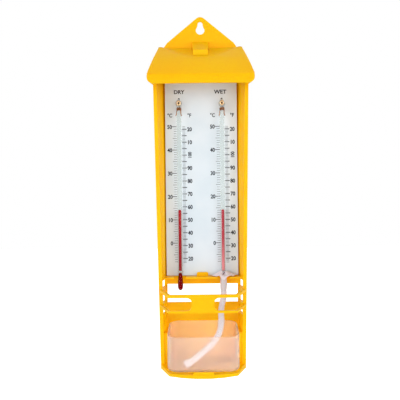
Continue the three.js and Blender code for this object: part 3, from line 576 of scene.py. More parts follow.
def wick_tail(cotton):
    """The tail's cloth and the path along its middle, flat from near its start and spread at its end."""
    path = smooth_path([at(*point) for point in TAIL_ROUTE], TAIL_STEPS)

    def section(share):
        flatten = min(1, share * TAIL_FLATTENING)
        swell = 1 + waves(TAIL_SWELLS, share)
        end = 1 + TAIL_SPREAD * max(0, share - TAIL_SPREAD_START) / (1 - TAIL_SPREAD_START)
        wide = lerp(TAIL_DIAMETER / 2, TAIL_WIDTH / 2, flatten) * swell * end
        return wide, lerp(TAIL_DIAMETER / 2, TAIL_THICKNESS / 2, flatten) * swell, TAIL_WOBBLE

    mesh = swept("wick_tail_cloth", path, section, sides=TAIL_SIDES)
    return piece("wick_tail_cloth", mesh, cotton, None, "cotton", "wick_tail"), path


def fray_section(share):
    radius = FRAY_ROOT_RADIUS - FRAY_TAPER * share
    return radius, radius, 0


def wick_fray(path, cotton):
    """Loose fibres at the cut end of the tail."""
    rng = random.Random(4)
    end, ahead = path[-1], (path[-1] - path[-4]).normalized()
    side = ahead.cross(Vector((0, 0, 1))).normalized()
    up = side.cross(ahead)
    strands = []
    for i in range(FRAY_STRANDS):
        angle, out = rng.uniform(0, 2 * math.pi), math.sqrt(rng.random())
        offset = side * TAIL_WIDTH * math.cos(angle) + up * TAIL_THICKNESS * math.sin(angle)
        start = end + offset * out * FRAY_BUNDLE * MM - ahead * FRAY_ROOT * MM
        reach = rng.uniform(*FRAY_REACH) * MM
        bend = (side * rng.uniform(-1, 1) + up * rng.uniform(*FRAY_LIFT)) * FRAY_BEND * MM
        line = smooth_path([start, start + ahead * reach * 0.5 + bend * 0.3, start + ahead * reach + bend], 4)
        strands.append(swept(f"strand_{i}", line, fray_section, sides=5, uv=False))
    return piece("wick_fray", joined("wick_fray", strands), cotton, None, "cotton")


# The camera and the cord are made before the other pieces
make_camera()
cotton_tail = knitted_cotton("knitted_cotton_tail", (248, 244, 246), (216, 208, 214), 150, 9)
tail, tail_path = wick_tail(cotton_tail)
fray = wick_fray(tail_path, cotton_tail)
for soft in (tail, fray):
    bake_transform(soft)


def wick_sleeve(cotton, x):
    """Knitted tube over the bulb up to the shelf."""
    def wall(grow):
        below = [point for point in bulb_profile(grow) if point[1] < SHELF_TOP_LEVEL]
        return [*below, (bulb_radius(SHELF_TOP_LEVEL, grow), SHELF_TOP_LEVEL)]

    outer = wall(SLEEVE_GAP + SLEEVE_WALL)
    foot = outer[0][1]
    outer = [*((radius, foot + rise) for radius, rise in SLEEVE_FOOT),
             *(point for point in outer if point[1] > foot + SLEEVE_FOOT[-1][1])]
    dense = []
    for low, high in zip(outer, outer[1:]):
        dense += [low, *spread(low, high, SLEEVE_ROWS)]
    rings = []
    for radius, level in [*dense, outer[-1], *reversed(wall(SLEEVE_GAP))]:
        ring = []
        for angle in circle(SLEEVE_SIDES):
            rib = SLEEVE_RIB * (math.sin(SLEEVE_RIBS[0] * angle)
                                + math.sin(SLEEVE_RIBS[1] * angle + level * SLEEVE_RIB_TWIST))
            reach = radius + (rib if radius > 1 else 0)
            ring.append(at(x + reach * math.cos(angle), STEM_DEPTH - reach * math.sin(angle), level))
        rings.append(ring)
    mesh = outward(skin("wick_sleeve_cloth", rings, capped=False, uv=True))
    piece("wick_sleeve_cloth", mesh, cotton, "case", "cotton", "wick_sleeve")


MOUTH_REACH = 11.8
MOUTH_FRONT_REACH = 6.6
MOUTH_BACK_REACH = 3.4
MOUTH_TIP_REACH = 1.8
MOUTH_TIP_DROOP = 3
MOUTH_FRONT_RISE = 2.1
MOUTH_TENT_RISE = 5
MOUTH_WALL = 0.35
MOUTH_POINTS = 144
MOUTH_FRONT = math.pi / 2
MOUTH_FRONT_SPAN = 0.62
MOUTH_TIP_SPAN = 0.42
MOUTH_ROOT_GAP = 0.25
MOUTH_PLEAT = 0.06
MOUTH_PLEATS = [(1, 9, 0.6), (0.4, 19, 2)]
MOUTH_RIPPLES = [(0.04, 7, 1)]
MOUTH_WAVE = 0.35
MOUTH_WAVE_LIFT = 1.4
MOUTH_SLOPE_POWER = 1.35
MOUTH_EDGE_BEND = 1.5
MOUTH_EDGE_POWER = 1.4
COLLAR_ROWS = 10
SPREAD_ROWS = 24


def wick_mouth(cotton, x):
    """Top of the knitted tube, spread like a tent over its thread, open in front, one tip over the edge."""
    lift = SLEEVE_GAP + MOUTH_WALL
    rings = []
    for row in range(COLLAR_ROWS + SPREAD_ROWS + 1):
        ring = []
        for angle in circle(MOUTH_POINTS):
            cos, sin = math.cos(angle), math.sin(angle)
            pleat = waves(MOUTH_PLEATS, angle)
            front = math.exp(-((angle - MOUTH_FRONT) / MOUTH_FRONT_SPAN) ** 4)
            root_level = SHELF_TOP_LEVEL + lerp(MOUTH_TENT_RISE, MOUTH_FRONT_RISE, front)
            root_radius = lerp(STEM_RADIUS + MOUTH_ROOT_GAP, bulb_radius(root_level, lift), front)
            if row < COLLAR_ROWS:
                share = row / COLLAR_ROWS
                level = lerp(NECK_LEVEL, root_level, share)
                radius = lerp(bulb_radius(NECK_LEVEL, lift), root_radius, share) + MOUTH_PLEAT * pleat * share
            else:
                share = (row - COLLAR_ROWS) / SPREAD_ROWS
                tip = math.exp(-((angle - MOUTH_FRONT) / MOUTH_TIP_SPAN) ** 2)
                deep = MOUTH_FRONT_REACH + MOUTH_TIP_REACH * tip if sin > 0 else MOUTH_BACK_REACH
                reach = 1 / math.hypot(cos / MOUTH_REACH, sin / deep)
                reach *= 1 + waves(MOUTH_RIPPLES, angle) * (1 - tip)
                radius = lerp(root_radius + MOUTH_PLEAT * pleat, reach, share)
                past = max(0, STEM_DEPTH + radius * sin - SHELF_DEPTH - SLEEVE_GAP)
                level = lerp(SHELF_TOP_LEVEL + lift, root_level, (1 - share) ** MOUTH_SLOPE_POWER)
                level += MOUTH_WAVE * share * (MOUTH_WAVE_LIFT + pleat) * (1 - tip)
                level -= MOUTH_TIP_DROOP * min(1, past / MOUTH_EDGE_BEND) ** MOUTH_EDGE_POWER
            ring.append(at(x + radius * cos, STEM_DEPTH + radius * sin, level))
        rings.append(ring)
    mesh = outward(skin("wick_mouth_cloth", rings, capped=False, uv=True))
    obj = piece("wick_mouth_cloth", mesh, cotton, "case", "cotton", "wick_mouth")
    thick = obj.modifiers.new("cloth", "SOLIDIFY")
    thick.thickness = MOUTH_WALL * MM
    thick.offset = 0
    return obj


def wick_thread(cotton, dark, x):
    """Cotton thread wound round the collar, with two dark loose ends over the cloth."""
    radius = bulb_radius(THREAD_FOOT_LEVEL, SLEEVE_GAP) + SLEEVE_WALL + SLEEVE_GAP / 2 + THREAD_RADIUS

    def turn(share):
        angle = 2 * math.pi * THREAD_TURNS * share
        level = THREAD_FOOT_LEVEL + share * THREAD_TURNS * THREAD_PITCH
        return at(x + radius * math.cos(angle), STEM_DEPTH + radius * math.sin(angle), level)

    steps = round(THREAD_STEPS * THREAD_TURNS)
    wound = swept("thread_wound", [turn(i / steps) for i in range(steps + 1)],
                  lambda share: (THREAD_RADIUS, THREAD_RADIUS, THREAD_WOBBLE), sides=THREAD_SIDES)
    piece("wick_thread_cotton", wound, cotton, "case", "cotton", "wick_thread")
    front = STEM_DEPTH + radius
    ends = [[at(x + aside, front + before, level) for aside, before, level in line] for line in THREAD_ENDS]
    loose = [swept(f"thread_{i}", smooth_path(line, 6),
                   lambda share: (THREAD_END_RADIUS, THREAD_END_RADIUS, THREAD_WOBBLE), sides=THREAD_SIDES)
             for i, line in enumerate(ends)]
    piece("wick_thread_ends", joined("wick_thread_ends", loose), dark, "case", "cotton")


# ---------------------------------------------------------------- thermometers

EYE_HALF_WIDTH = 2.8
EYE_HALF_HEIGHT = 3.9
EYE_GLASS_RADIUS = 0.72
EYE_DEPTH_STRETCH = 1.8
EYE_STEPS = 48
EYE_SIDES = 16


def eye_ring(x):
    """Glass loop at the top of a stem, taller than it is wide."""
    rings = []
    for around in circle(EYE_STEPS):
        out = Vector((math.cos(around), 0, math.sin(around)))
        centre = Vector(((EYE_HALF_WIDTH - EYE_GLASS_RADIUS) * out.x, 0,
                         (EYE_HALF_HEIGHT - EYE_GLASS_RADIUS) * out.z))
        rings.append([at(x, STEM_DEPTH, EYE_LEVEL) + (centre + out * EYE_GLASS_RADIUS * math.cos(a)) * MM
                      + Vector((0, EYE_GLASS_RADIUS * EYE_DEPTH_STRETCH * math.sin(a) * MM, 0))
                      for a in circle(EYE_SIDES)])
    return outward(skin("eye_ring", [*rings, rings[0]], capped=False))


POOL_GAP = 0.3
COLUMN_GAP = 0.1
COLUMN_ROWS = 24
COLUMN_SIDES = 24
COLUMN_WIDTH = 0.9
# Share of the bore's radius and rise over the reading
COLUMN_TOP = [(0.78, 0.45), (0.45, 0.75)]


def thermometer(side, glass, spirit, column_spirit):
    """Glass, filled bulb and column; the glass is solid round them, so the spirit looks wider than it is."""
    x = STEM_X[side]
    shoulder = STEM_RADIUS - WAIST_RADIUS
    wall = [*bulb_profile(0), (STEM_RADIUS * 0.93, lerp(NECK_LEVEL, SHOULDER_LEVEL, 0.7)),
            (STEM_RADIUS, SHOULDER_LEVEL), (STEM_RADIUS, WAIST_LEVEL - shoulder - 1),
            (STEM_RADIUS * 0.96, WAIST_LEVEL - shoulder), (STEM_RADIUS * 0.7, WAIST_LEVEL - shoulder * 0.4),
            (WAIST_RADIUS, WAIST_LEVEL), (WAIST_RADIUS, STEM_TOP_LEVEL - 0.6)]
    mesh = joined(f"{side}_glass", [turned(f"{side}_glass_wall", wall, x), eye_ring(x)])
    mesh.polygons.foreach_set("use_smooth", [True] * len(mesh.polygons))
    piece(f"{side}_glass", mesh, glass, "case", "glass", f"{side}_thermometer_glass")

    pool = bulb_profile(-POOL_GAP)[:-1]
    pool.append((BORE_RADIUS * 0.8, lerp(pool[-1][1], NECK_LEVEL, 0.7)))
    piece(f"{side}_bulb_red", turned(f"{side}_bulb_red", pool, x), spirit, "case", "spirit",
          f"{side}_bulb_spirit")

    foot = SHOULDER_LEVEL + COLUMN_GAP
    column = [(BORE_RADIUS * COLUMN_WIDTH, lerp(foot, REST_LEVEL, k / COLUMN_ROWS))
              for k in range(COLUMN_ROWS + 1)]
    column += [(BORE_RADIUS * share, REST_LEVEL + rise) for share, rise in COLUMN_TOP]
    mesh = turned(f"{side}_column_red", column, x, sides=COLUMN_SIDES)
    obj = piece(f"{side}_column_red", mesh, column_spirit, None, "spirit",
                f"{side}_spirit_column", f"{side}_meniscus")
    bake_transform(obj)


WIRE_RADIUS = 0.4
TIE_RADIUS = WAIST_RADIUS + 0.15 + WIRE_RADIUS
TIE_FOOT_LEVEL = 230
TIE_KNEE_LEVEL = 232.2
TIE_COIL_LEVEL = 235.5
TIE_TURNS = 2.25
TIE_PITCH = 0.95
TIE_STEPS = 12
TIE_START_TURN = 0.375
TIE_SPREAD = 2
TIE_SPLAY = 0.7
CLIP_RADIUS = 0.25
CLIP_GAP = 0.3
CLIP_LEVEL = 85.3
CLIP_TAIL_DEPTH = 3.4
EYELET_HOLE = 0.75
EYELET_BARREL = 1.3
EYELET_FLANGE = 2
EYELET_TALL = 1.28
EYELET_FRONT_DEPTH = STEM_DEPTH + 1.9
EYELET_BACK_DEPTH = 4.7
EYELET_SIDES = 40
EYELET_SMOOTH_DEGREES = 50


def tie_points(x):
    """Wire wound round the waist, its two ends laid down in front of the stem's edges."""
    depth = STEM_DEPTH + math.sqrt((STEM_RADIUS + 2 * WIRE_RADIUS) ** 2 - TIE_SPREAD ** 2)

    def leg(side, splay, level):
        return at(x + side * (TIE_SPREAD + splay), depth, level)

    steps = round(TIE_TURNS * TIE_STEPS)
    coil = []
    for i in range(steps + 1):
        turn = i / steps * TIE_TURNS
        angle = (TIE_START_TURN - turn) * 2 * math.pi
        coil.append(at(x + TIE_RADIUS * math.cos(angle), STEM_DEPTH + TIE_RADIUS * math.sin(angle),
                       TIE_COIL_LEVEL + turn * TIE_PITCH))
    top = TIE_COIL_LEVEL + TIE_TURNS * TIE_PITCH
    return [leg(-1, TIE_SPLAY, TIE_FOOT_LEVEL), leg(-1, 0, TIE_KNEE_LEVEL),
            leg(-1, 0, TIE_COIL_LEVEL - 4 * WIRE_RADIUS), *coil, leg(1, 0, top - 2 * WIRE_RADIUS),
            leg(1, 0, TIE_KNEE_LEVEL), leg(1, TIE_SPLAY, TIE_FOOT_LEVEL)]


def eyelet(side, brass):
    """Hollow rivet through the glass eye and the plate; its front is oval, as it was pressed."""
    x = STEM_X[side]
    hole, barrel, flange = EYELET_HOLE, EYELET_BARREL, EYELET_FLANGE
    front, back = EYELET_FRONT_DEPTH, EYELET_BACK_DEPTH
    profile = [(hole, back - 0.5), (flange - 0.1, back - 0.5), (flange, back - 0.25), (flange - 0.1, back),
               (barrel, back), (barrel, front), (flange - 0.2, front), (flange, front + 0.2),
               (flange - 0.15, front + 0.45), (flange - 0.6, front + 0.62), (hole + 0.35, front + 0.62),
               (hole + 0.08, front + 0.4), (hole, front), (hole, back - 0.5)]
    rings = []
    for radius, depth in profile:
        stretch = EYELET_TALL if depth >= front and radius > barrel else 1
        rings.append([at(x + radius * math.cos(a), depth, EYE_LEVEL + radius * stretch * math.sin(a))
                      for a in circle(EYELET_SIDES)])
    mesh = outward(skin(f"{side}_eyelet_brass", rings, capped=False))
    obj = piece(f"{side}_eyelet_brass", mesh, brass, "case", "brass", f"{side}_eyelet")
    smooth_by_angle(obj, EYELET_SMOOTH_DEGREES)


PINHOLE_RISE = 4.9
PINHOLE_RADIUS = 0.85
PINHOLE_SINK = 0.35
PINHOLE_SIDES = 24


def pinhole(side, dark):
    """A dark disc of painted shade at the bottom of the pinhole over a thermometer's eye."""
    ring = [at(STEM_X[side] + PINHOLE_RADIUS * math.cos(a), PLATE_FRONT_DEPTH - PINHOLE_SINK,
               EYE_LEVEL + PINHOLE_RISE + PINHOLE_RADIUS * math.sin(a)) for a in circle(PINHOLE_SIDES)]
    mesh = mesh_of(f"{side}_pinhole_painted_shade", ring, [tuple(range(PINHOLE_SIDES))], smooth=False)
    piece(f"{side}_pinhole_painted_shade", mesh, dark, "case", "plate")


def neck_clip(steel):
    """Wire staple round the dry thermometer's neck."""
    x, radius = STEM_X["dry"], NECK_RADIUS + CLIP_GAP + CLIP_RADIUS
    ring = [at(x + radius * math.cos(a), STEM_DEPTH + radius * math.sin(a), CLIP_LEVEL)
            for a in (math.pi * (1 - i / 8) for i in range(9))]
    ends = [[at(x + side * radius, depth, CLIP_LEVEL) for depth in (CLIP_TAIL_DEPTH, PLATE_FRONT_DEPTH)]
            for side in (-1, 1)]
    wire("dry_clip_steel", [*ends[0], *ring, *reversed(ends[1])], CLIP_RADIUS, steel, "case", "steel",
         "dry_neck_clip")


# ---------------------------------------------------------------- printed scale

PRINT_DEPTH = PLATE_FRONT_DEPTH + 0.04
DIGIT_SIZE = 5.1
HUNDRED_SIZE = 0.9 * DIGIT_SIZE
LABEL_SIZE = 4.9
LABEL_LEVEL = 253.4
LABEL_WEIGHT = 0.15
# Words, place across the plate and width for their height
LABELS = [("DRY", -20.4, 1.02), ("WET", 18.2, 1.08)]
UNIT_LEVEL = 231.6
UNIT_WEIGHT = 0.14
UNITS = [("°C", -9.2), ("°F", 9)]
CELSIUS_RANGE = (-8, 50)
FAHRENHEIT_RANGE = (17, 122)
# Left edge and right edge from the scale's middle, and thickness
CELSIUS_TEN = (-7.1, -2.2, 0.58)
CELSIUS_FIVE = (-6.6, -2.2, 0.46)
CELSIUS_ONE = (-5.6, -2.2, 0.4)
FAHRENHEIT_FIVE = (2.1, 6.3, 0.74)
FAHRENHEIT_ONE = (2.4, 5.1, 0.36)
# Edge or middle from the scale's middle, rise over the mark, and weight
CELSIUS_DIGITS = (-7.3, -0.2, 0.18)
FAHRENHEIT_DIGITS = (6.9, -0.1, 0.19)
HUNDRED_DIGITS = (9.2, 0, 0.16)


def bar(x, level, mark):
    left, right, thickness = mark
    low, high = level - thickness / 2, level + thickness / 2
    points = [at(x + left, PRINT_DEPTH, low), at(x + right, PRINT_DEPTH, low),
              at(x + right, PRINT_DEPTH, high), at(x + left, PRINT_DEPTH, high)]
    return mesh_of("bar", points, [(0, 1, 2, 3)], smooth=False)


def lettering(text, x, level, size, weight, align="CENTER", squeeze=0.86, turn=0.0):
    """Words as a flat mesh on the plate, centred in height on the level."""
    curve = bpy.data.curves.new("words", "FONT")
    curve.body = text
    curve.size = size
    curve.align_x = align
    curve.align_y = "CENTER"
    curve.offset = weight
    curve.resolution_u = 3
    obj = placed("words", curve)
    bpy.context.view_layer.update()
    mesh = bpy.data.meshes.new_from_object(obj.evaluated_get(bpy.context.evaluated_depsgraph_get()))
    bpy.data.objects.remove(obj)
    heights = [v.co.y for v in mesh.vertices]
    middle = (min(heights) + max(heights)) / 2
    place = Matrix.Translation(at(x, PRINT_DEPTH, level)) @ Matrix.Rotation(math.pi / 2, 4, "X")
    place = place @ Matrix.Rotation(turn, 4, "Z") @ Matrix.Diagonal((squeeze * MM, MM, MM, 1))
    mesh.transform(place @ Matrix.Translation((0, -middle, 0)))
    return mesh


def digits(number, x, level, place, size=DIGIT_SIZE, **layout):
    aside, rise, weight = place
    return lettering(str(number), x + aside, level + rise, size, weight, **layout)


def scale_side(x):
    """Bold and faint marks of one thermometer's two scales."""
    bold, faint = [], []
    for degree in range(CELSIUS_RANGE[0], CELSIUS_RANGE[1] + 1):
        level = ZERO_LEVEL + degree * PER_DEGREE
        if degree % 10 == 0:
            bold.append(bar(x, level, CELSIUS_TEN))
            bold.append(digits(degree, x, level, CELSIUS_DIGITS, align="RIGHT"))
        else:
            faint.append(bar(x, level, CELSIUS_FIVE if degree % 5 == 0 else CELSIUS_ONE))
    for degree in range(FAHRENHEIT_RANGE[0], FAHRENHEIT_RANGE[1] + 1):
        level = ZERO_LEVEL + (degree - 32) / 1.8 * PER_DEGREE
        if degree % 5 == 0:
            bold.append(bar(x, level, FAHRENHEIT_FIVE))
        else:
            faint.append(bar(x, level, FAHRENHEIT_ONE))
        if degree == 100:
            bold.append(digits(degree, x, level, HUNDRED_DIGITS, HUNDRED_SIZE, turn=math.pi / 2))
        elif degree % 10 == 0:
            bold.append(digits(degree % 100, x, level, FAHRENHEIT_DIGITS, align="LEFT"))
    for unit, aside in UNITS:
        bold.append(lettering(unit, x + aside, UNIT_LEVEL, LABEL_SIZE, UNIT_WEIGHT))
    return bold, faint


def scale_print():
    dark = printing_ink("scale_ink", (14, 18, 30), (44, 50, 62))
    pale = printing_ink("scale_ink_fine", (84, 92, 104), (128, 136, 146))
    bold = [lettering(words, x, LABEL_LEVEL, LABEL_SIZE, LABEL_WEIGHT, squeeze=width)
            for words, x, width in LABELS]
    faint = []
    for x in SCALE_X:
        more_bold, more_faint = scale_side(x)
        bold += more_bold
        faint += more_faint
    piece("scale_print_bold", joined("scale_print_bold", bold), dark, "case", "plate")
    piece("scale_print_fine", joined("scale_print_fine", faint), pale, "case", "plate")


# ---------------------------------------------------------------- hood

# Half width, depth and level, from the foot up to the top edge
HOOD_KNOTS = [(47.4, 39.4, 254), (47.25, 38.4, 259.6), (47, 36, 264.5), (43.1, 24, 279.7), (38.5, 8, 295.4)]
HOOD_SIDE_DEPTH = 37.6
HOOD_SIDE_LEVEL = 261.5
HOOD_WALL = 2
HOOD_BACK_DEPTH = 2.3
HOOD_FOOT_INSET = 5.8
HOOD_BEND_INSET = 2.4
HOOD_BACK_INSET = 1.5
HOOD_SIDE_SETBACK = 2.4
# Half width and depth of the slot beside the latch, at its back and at its front
HOOD_SLOT = [(10.4, -4), (7, 14)]
SLOT_CLEARANCE = 10
HOOD_FRONT_BOW = 0.8
HOOD_SIDE_STEPS = 20
HOOD_BEND_STEPS = 16
HOOD_FRONT_STEPS = 40
HOOD_BAND_ROWS = 14
HOOD_TOP_ROWS = 8
HOOD_MERGE = 0.01
HOOD_RIM = 0.5
HOOD_RIM_SEGMENTS = 3
HOOD_RIM_DEGREES = 55
HOOD_SMOOTH_DEGREES = 40
DISH_BACK_DEPTH = 3
DISH_BACK_LEVEL = 296.1
DISH_HALF_WIDTH = 38.5
DISH_SLOPE_SHARE = 0.738
DISH_EDGE = 1.1
CORNER_X = 36.5
CORNER_WIDTH = 3
CORNER_FALL = 0.35


def dish_level(x, depth):
    """Level of the dished top, which slopes forward and falls at its corners."""
    slope = DISH_SLOPE_SHARE * (1 - (x / DISH_HALF_WIDTH) ** 4)
    past = min(max(abs(x) - CORNER_X, 0), CORNER_WIDTH)
    return DISH_BACK_LEVEL - slope * (depth - DISH_BACK_DEPTH) - CORNER_FALL * past * past


def soft_min(a, b, radius):
    """The lower of two levels, rounded over where they meet."""
    blend = max(0.0, radius - abs(a - b)) / radius
    return min(a, b) - blend * blend * radius / 4


def bend_points(start, corner, end, steps):
    """Points of the arc from start to end that turns round the corner."""
    points = []
    for i in range(steps + 1):
        t = i / steps
        points.append(tuple((1 - t) ** 2 * s + 2 * t * (1 - t) * c + t * t * e
                            for s, c, e in zip(start, corner, end)))
    return points


def hood_ring(half_width, depth, level, side_depth, side_level, corner_inset):
    """One row round the hood, from its right back edge over the front to the left one."""
    taper = min(1, depth / HOOD_KNOTS[3][1])
    back = (half_width - HOOD_BACK_INSET * taper, HOOD_BACK_DEPTH, side_level)
    side = (half_width, side_depth - HOOD_SIDE_SETBACK * taper, side_level)
    corner = (half_width, depth, level)
    front = (half_width - corner_inset * taper, depth, level)
    middle = (0, depth + HOOD_FRONT_BOW * taper, level)
    right = [back, *spread(back, side, HOOD_SIDE_STEPS), *bend_points(side, corner, front, HOOD_BEND_STEPS),
             *spread(front, middle, HOOD_FRONT_STEPS)]
    left = [(-x, d, z) for x, d, z in reversed(right)]
    return [*right, middle, *left]


def hood_sections():
    """What hood_ring needs for each row, from the foot up."""
    sections = []
    for i, (half_width, depth, level) in enumerate(smooth_path(HOOD_KNOTS, HOOD_BAND_ROWS)):
        under_bend = max(0, 1 - i / HOOD_BAND_ROWS / 2)
        side_depth, side_level = depth, level
        if under_bend:
            side_depth = lerp(HOOD_KNOTS[2][1], HOOD_SIDE_DEPTH, under_bend)
            side_level = lerp(HOOD_KNOTS[2][2], HOOD_SIDE_LEVEL, under_bend)
        sections.append((half_width, depth, level, side_depth, side_level,
                         lerp(HOOD_BEND_INSET, HOOD_FOOT_INSET, under_bend ** 2)))
    return sections


def slot_cutter():
    """Prism that opens the dished top beside the latch."""
    (wide, back), (narrow, front) = HOOD_SLOT
    low, high = HOOD_KNOTS[2][2], HOOD_KNOTS[-1][2] + SLOT_CLEARANCE
    plan = [(-wide, back), (-narrow, front), (narrow, front), (wide, back)]
    points = [at(x, depth, level) for level in (low, high) for x, depth in plan]
    faces = [(0, 1, 2, 3), (7, 6, 5, 4), *((i, i + 4, (i + 1) % 4 + 4, (i + 1) % 4) for i in range(4))]
    return placed("slot_cutter", outward(mesh_of("slot_cutter", points, faces, smooth=False)))


def hood(yellow):
    rings = [hood_ring(*section) for section in hood_sections()]
    top, half = rings[-1], HOOD_KNOTS[-1][0]
    back = [(lerp(half, -half, i / (len(top) - 1)), HOOD_BACK_DEPTH, top[0][2]) for i in range(len(top))]
    for k in range(1, HOOD_TOP_ROWS + 1):
        rings.append([between(a, b, k / HOOD_TOP_ROWS) for a, b in zip(top, back)])
    shaped = [[at(x, d, soft_min(z, dish_level(x, d), DISH_EDGE)) for x, d, z in ring] for ring in rings]
    mesh = outward(skin("hood_roof", shaped, closed=False, capped=False), merge_mm=HOOD_MERGE)
    obj = piece("hood_roof", mesh, yellow, "case", "case", "hood")
    wall = obj.modifiers.new("wall", "SOLIDIFY")
    wall.thickness = HOOD_WALL * MM
    wall.offset = -1
    cutter = slot_cutter()
    slot = obj.modifiers.new("slot", "BOOLEAN")
    slot.object = cutter
    slot.solver = "EXACT"
    rim = obj.modifiers.new("rim", "BEVEL")
    rim.width = HOOD_RIM * MM
    rim.segments = HOOD_RIM_SEGMENTS
    rim.limit_method = "ANGLE"
    rim.angle_limit = math.radians(HOOD_RIM_DEGREES)
    smooth_by_angle(obj, HOOD_SMOOTH_DEGREES)
    bpy.data.objects.remove(cutter)


# ---------------------------------------------------------------- reservoir

TANK_HALF_WIDTH = 31.4
TANK_BACK_DEPTH = 2.6
TANK_FRONT_DEPTH = 45
TANK_FOOT_LEVEL = 4.5
TANK_FRONT_RIM = 34.4
TANK_BACK_RIM = 38.8
TANK_CORNER = 9.5
TANK_FOOT_RADIUS = 2.8
TANK_WALL = 1.5
TANK_RIM_EDGE = 0.35
TANK_RIM_TURN = 0.3
TANK_CORNER_STEPS = 12
TANK_FOOT_STEPS = 8
TANK_SMOOTH_DEGREES = 45


def tank_ring(inset, level_at):
    """Rounded rectangle round the tank; level_at(depth) gives its level."""
    radius = TANK_CORNER - inset
    centre_x = TANK_HALF_WIDTH - TANK_CORNER
    near, far = TANK_BACK_DEPTH + TANK_CORNER, TANK_FRONT_DEPTH - TANK_CORNER
    ring = []
    for quarter, (side, centre) in enumerate([(1, near), (-1, near), (-1, far), (1, far)]):
        for i in range(TANK_CORNER_STEPS + 1):
            angle = (quarter + i / TANK_CORNER_STEPS) * math.pi / 2
            depth = centre - radius * math.sin(angle)
            ring.append(at(side * centre_x + radius * math.cos(angle), depth, level_at(depth)))
    return ring


def tank(frosted):
    """Open box with rounded corners and foot, its rim lower at the front and rounded over."""
    def rim_ring(inset, drop):
        def level_at(depth):
            share = (depth - TANK_BACK_DEPTH) / (TANK_FRONT_DEPTH - TANK_BACK_DEPTH)
            return lerp(TANK_BACK_RIM, TANK_FRONT_RIM, share) - drop
        return tank_ring(inset, level_at)

    def foot(wall):
        rings, radius = [], TANK_FOOT_RADIUS - wall
        for i in range(TANK_FOOT_STEPS + 1):
            angle = i / TANK_FOOT_STEPS * math.pi / 2
            level = TANK_FOOT_LEVEL + wall + radius * (1 - math.cos(angle))
            rings.append(tank_ring(wall + radius * (1 - math.sin(angle)), lambda depth: level))
        return rings

    edge, turn = TANK_RIM_EDGE, TANK_RIM_EDGE * TANK_RIM_TURN
    outside = [*foot(0), rim_ring(0, edge), rim_ring(turn, turn), rim_ring(edge, 0)]
    inside = [*foot(TANK_WALL), rim_ring(TANK_WALL, edge), rim_ring(TANK_WALL - turn, turn),
              rim_ring(TANK_WALL - edge, 0)]
    mesh = outward(skin("tank_frosted", [*outside, *reversed(inside)]))
    obj = piece("tank_frosted", mesh, frosted, "reservoir", "reservoir", "reservoir")
    smooth_by_angle(obj, TANK_SMOOTH_DEGREES)


# ---------------------------------------------------------------- build

CASE_EDGE = 0.32
SHEER_ALPHA = 0.9

yellow = moulded_yellow()
white = plate_white()
glass = drawn_glass()
brass = worn_metal("worn_brass", (232, 212, 172), (188, 158, 116), 0.3)
copper = worn_metal("dull_copper", (178, 132, 98), (128, 90, 66), 0.4)
steel = worn_metal("tinned_wire", (226, 214, 206), (176, 160, 150), 0.3)
# Each spirit's colour changes with level as painted light, and the last number is its painted glow.
bulb_red = dyed_spirit("bulb_spirit", (110, 0, 4), (130, 2, 8), 68, 90, 0.0)
dry_red = dyed_spirit("dry_spirit", (166, 38, 46), (146, 32, 40), 88, 140, 0.12)
wet_red = dyed_spirit("wet_spirit", (166, 60, 70), (206, 124, 130), 90, 118, 0.16)
cotton = knitted_cotton("knitted_cotton", (244, 240, 242), (208, 202, 208), 30, 12)
sheer_cotton = knitted_cotton("sheer_cotton", (254, 246, 248), (240, 228, 234), 26, 40)
sheer_cotton.node_tree.nodes["Principled BSDF"].inputs["Alpha"].default_value = SHEER_ALPHA

bevelled_copy("case", "case_moulding", CASE_EDGE, yellow, "case", "case")
bevelled_copy("scale_plate", "plate_panel", 0, white, "case", "plate")
hood(yellow)
tank(frosted_plastic())
for side in STEM_X:
    thermometer(side, glass, bulb_red, dry_red if side == "dry" else wet_red)
    eyelet(side, brass)
    wire(f"{side}_tie_copper", tie_points(STEM_X[side]), WIRE_RADIUS, copper, "case", "copper",
         f"{side}_tie_wire")
neck_clip(steel)
# Painted shade: a dark disc stands in for the shade inside each pinhole.
shade = printing_ink("pinhole_shade", (24, 22, 24), (44, 40, 40))
for side in STEM_X:
    pinhole(side, shade)
scale_print()
wick_sleeve(cotton, STEM_X["wet"])
mouth = wick_mouth(sheer_cotton, STEM_X["wet"])
wick_thread(cotton, printing_ink("tie_thread", (104, 62, 76), (140, 96, 104)), STEM_X["wet"])


# ---------------------------------------------------------------- studio

WHITE = (1, 1, 1, 1)
# Place and watts
LAMPS = {"key": (at(780, 560, 150), 3.75), "fill": (at(-780, 560, 150), 3.85),
         "front": (at(0, 900, 240), 1.7)}
LAMP_SIZE = 0.7
LAMP_AIM = at(0, 15, 165)
FLOOR_REACH = 4
FLOOR_Z = -0.62
ROOM_LIGHT = 0.55
SHOWN_LIGHT = 1.0


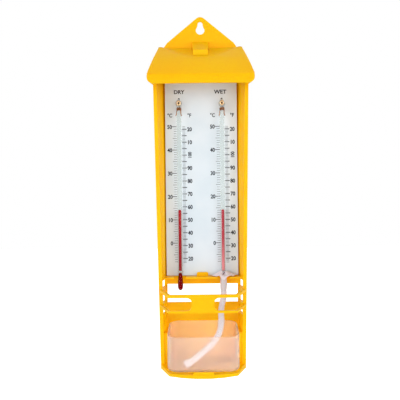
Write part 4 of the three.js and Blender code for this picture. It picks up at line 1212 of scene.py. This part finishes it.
def area_light(name, place, watts):
    data = bpy.data.lights.new(name, "AREA")
    data.size = LAMP_SIZE
    data.energy = watts
    obj = placed(name, data)
    obj.location = place
    obj.rotation_euler = (LAMP_AIM - place).to_track_quat("-Z", "Y").to_euler()


def studio():
    """Three lamps, a floor that the camera sees white, and a room darker than the backdrop it shows."""
    for name, (place, watts) in LAMPS.items():
        area_light(name, place, watts)

    corners = [(FLOOR_REACH * x, FLOOR_REACH * y, FLOOR_Z) for x, y in ((-1, -1), (1, -1), (1, 1), (-1, 1))]
    floor_mesh = mesh_of("floor", corners, [(0, 1, 2, 3)], smooth=False)
    floor = placed("floor", floor_mesh)
    pale = Look("studio_floor", (244, 244, 244), 0.9)
    pale.shader.inputs["Emission Color"].default_value = WHITE
    path = pale.nodes.new("ShaderNodeLightPath")
    pale.links.new(path.outputs["Is Camera Ray"], pale.shader.inputs["Emission Strength"])
    floor_mesh.materials.append(pale.material)

    world = bpy.data.worlds.new("studio")
    world.use_nodes = True
    nodes, links = world.node_tree.nodes, world.node_tree.links
    room = nodes["Background"]
    room.inputs["Color"].default_value = WHITE
    room.inputs["Strength"].default_value = ROOM_LIGHT
    shown = nodes.new("ShaderNodeBackground")
    shown.inputs["Color"].default_value = WHITE
    shown.inputs["Strength"].default_value = SHOWN_LIGHT
    ray = nodes.new("ShaderNodeLightPath")
    sees_shown = ray.outputs["Is Camera Ray"]
    for kind in ("Is Transmission Ray", "Is Glossy Ray"):
        either = nodes.new("ShaderNodeMath")
        either.operation = "MAXIMUM"
        links.new(sees_shown, either.inputs[0])
        links.new(ray.outputs[kind], either.inputs[1])
        sees_shown = either.outputs[0]
    mix = nodes.new("ShaderNodeMixShader")
    links.new(sees_shown, mix.inputs["Fac"])
    links.new(room.outputs[0], mix.inputs[1])
    links.new(shown.outputs[0], mix.inputs[2])
    links.new(mix.outputs[0], nodes["World Output"].inputs["Surface"])
    bpy.context.scene.world = world


studio()
bpy.context.scene.view_settings.view_transform = "Standard"
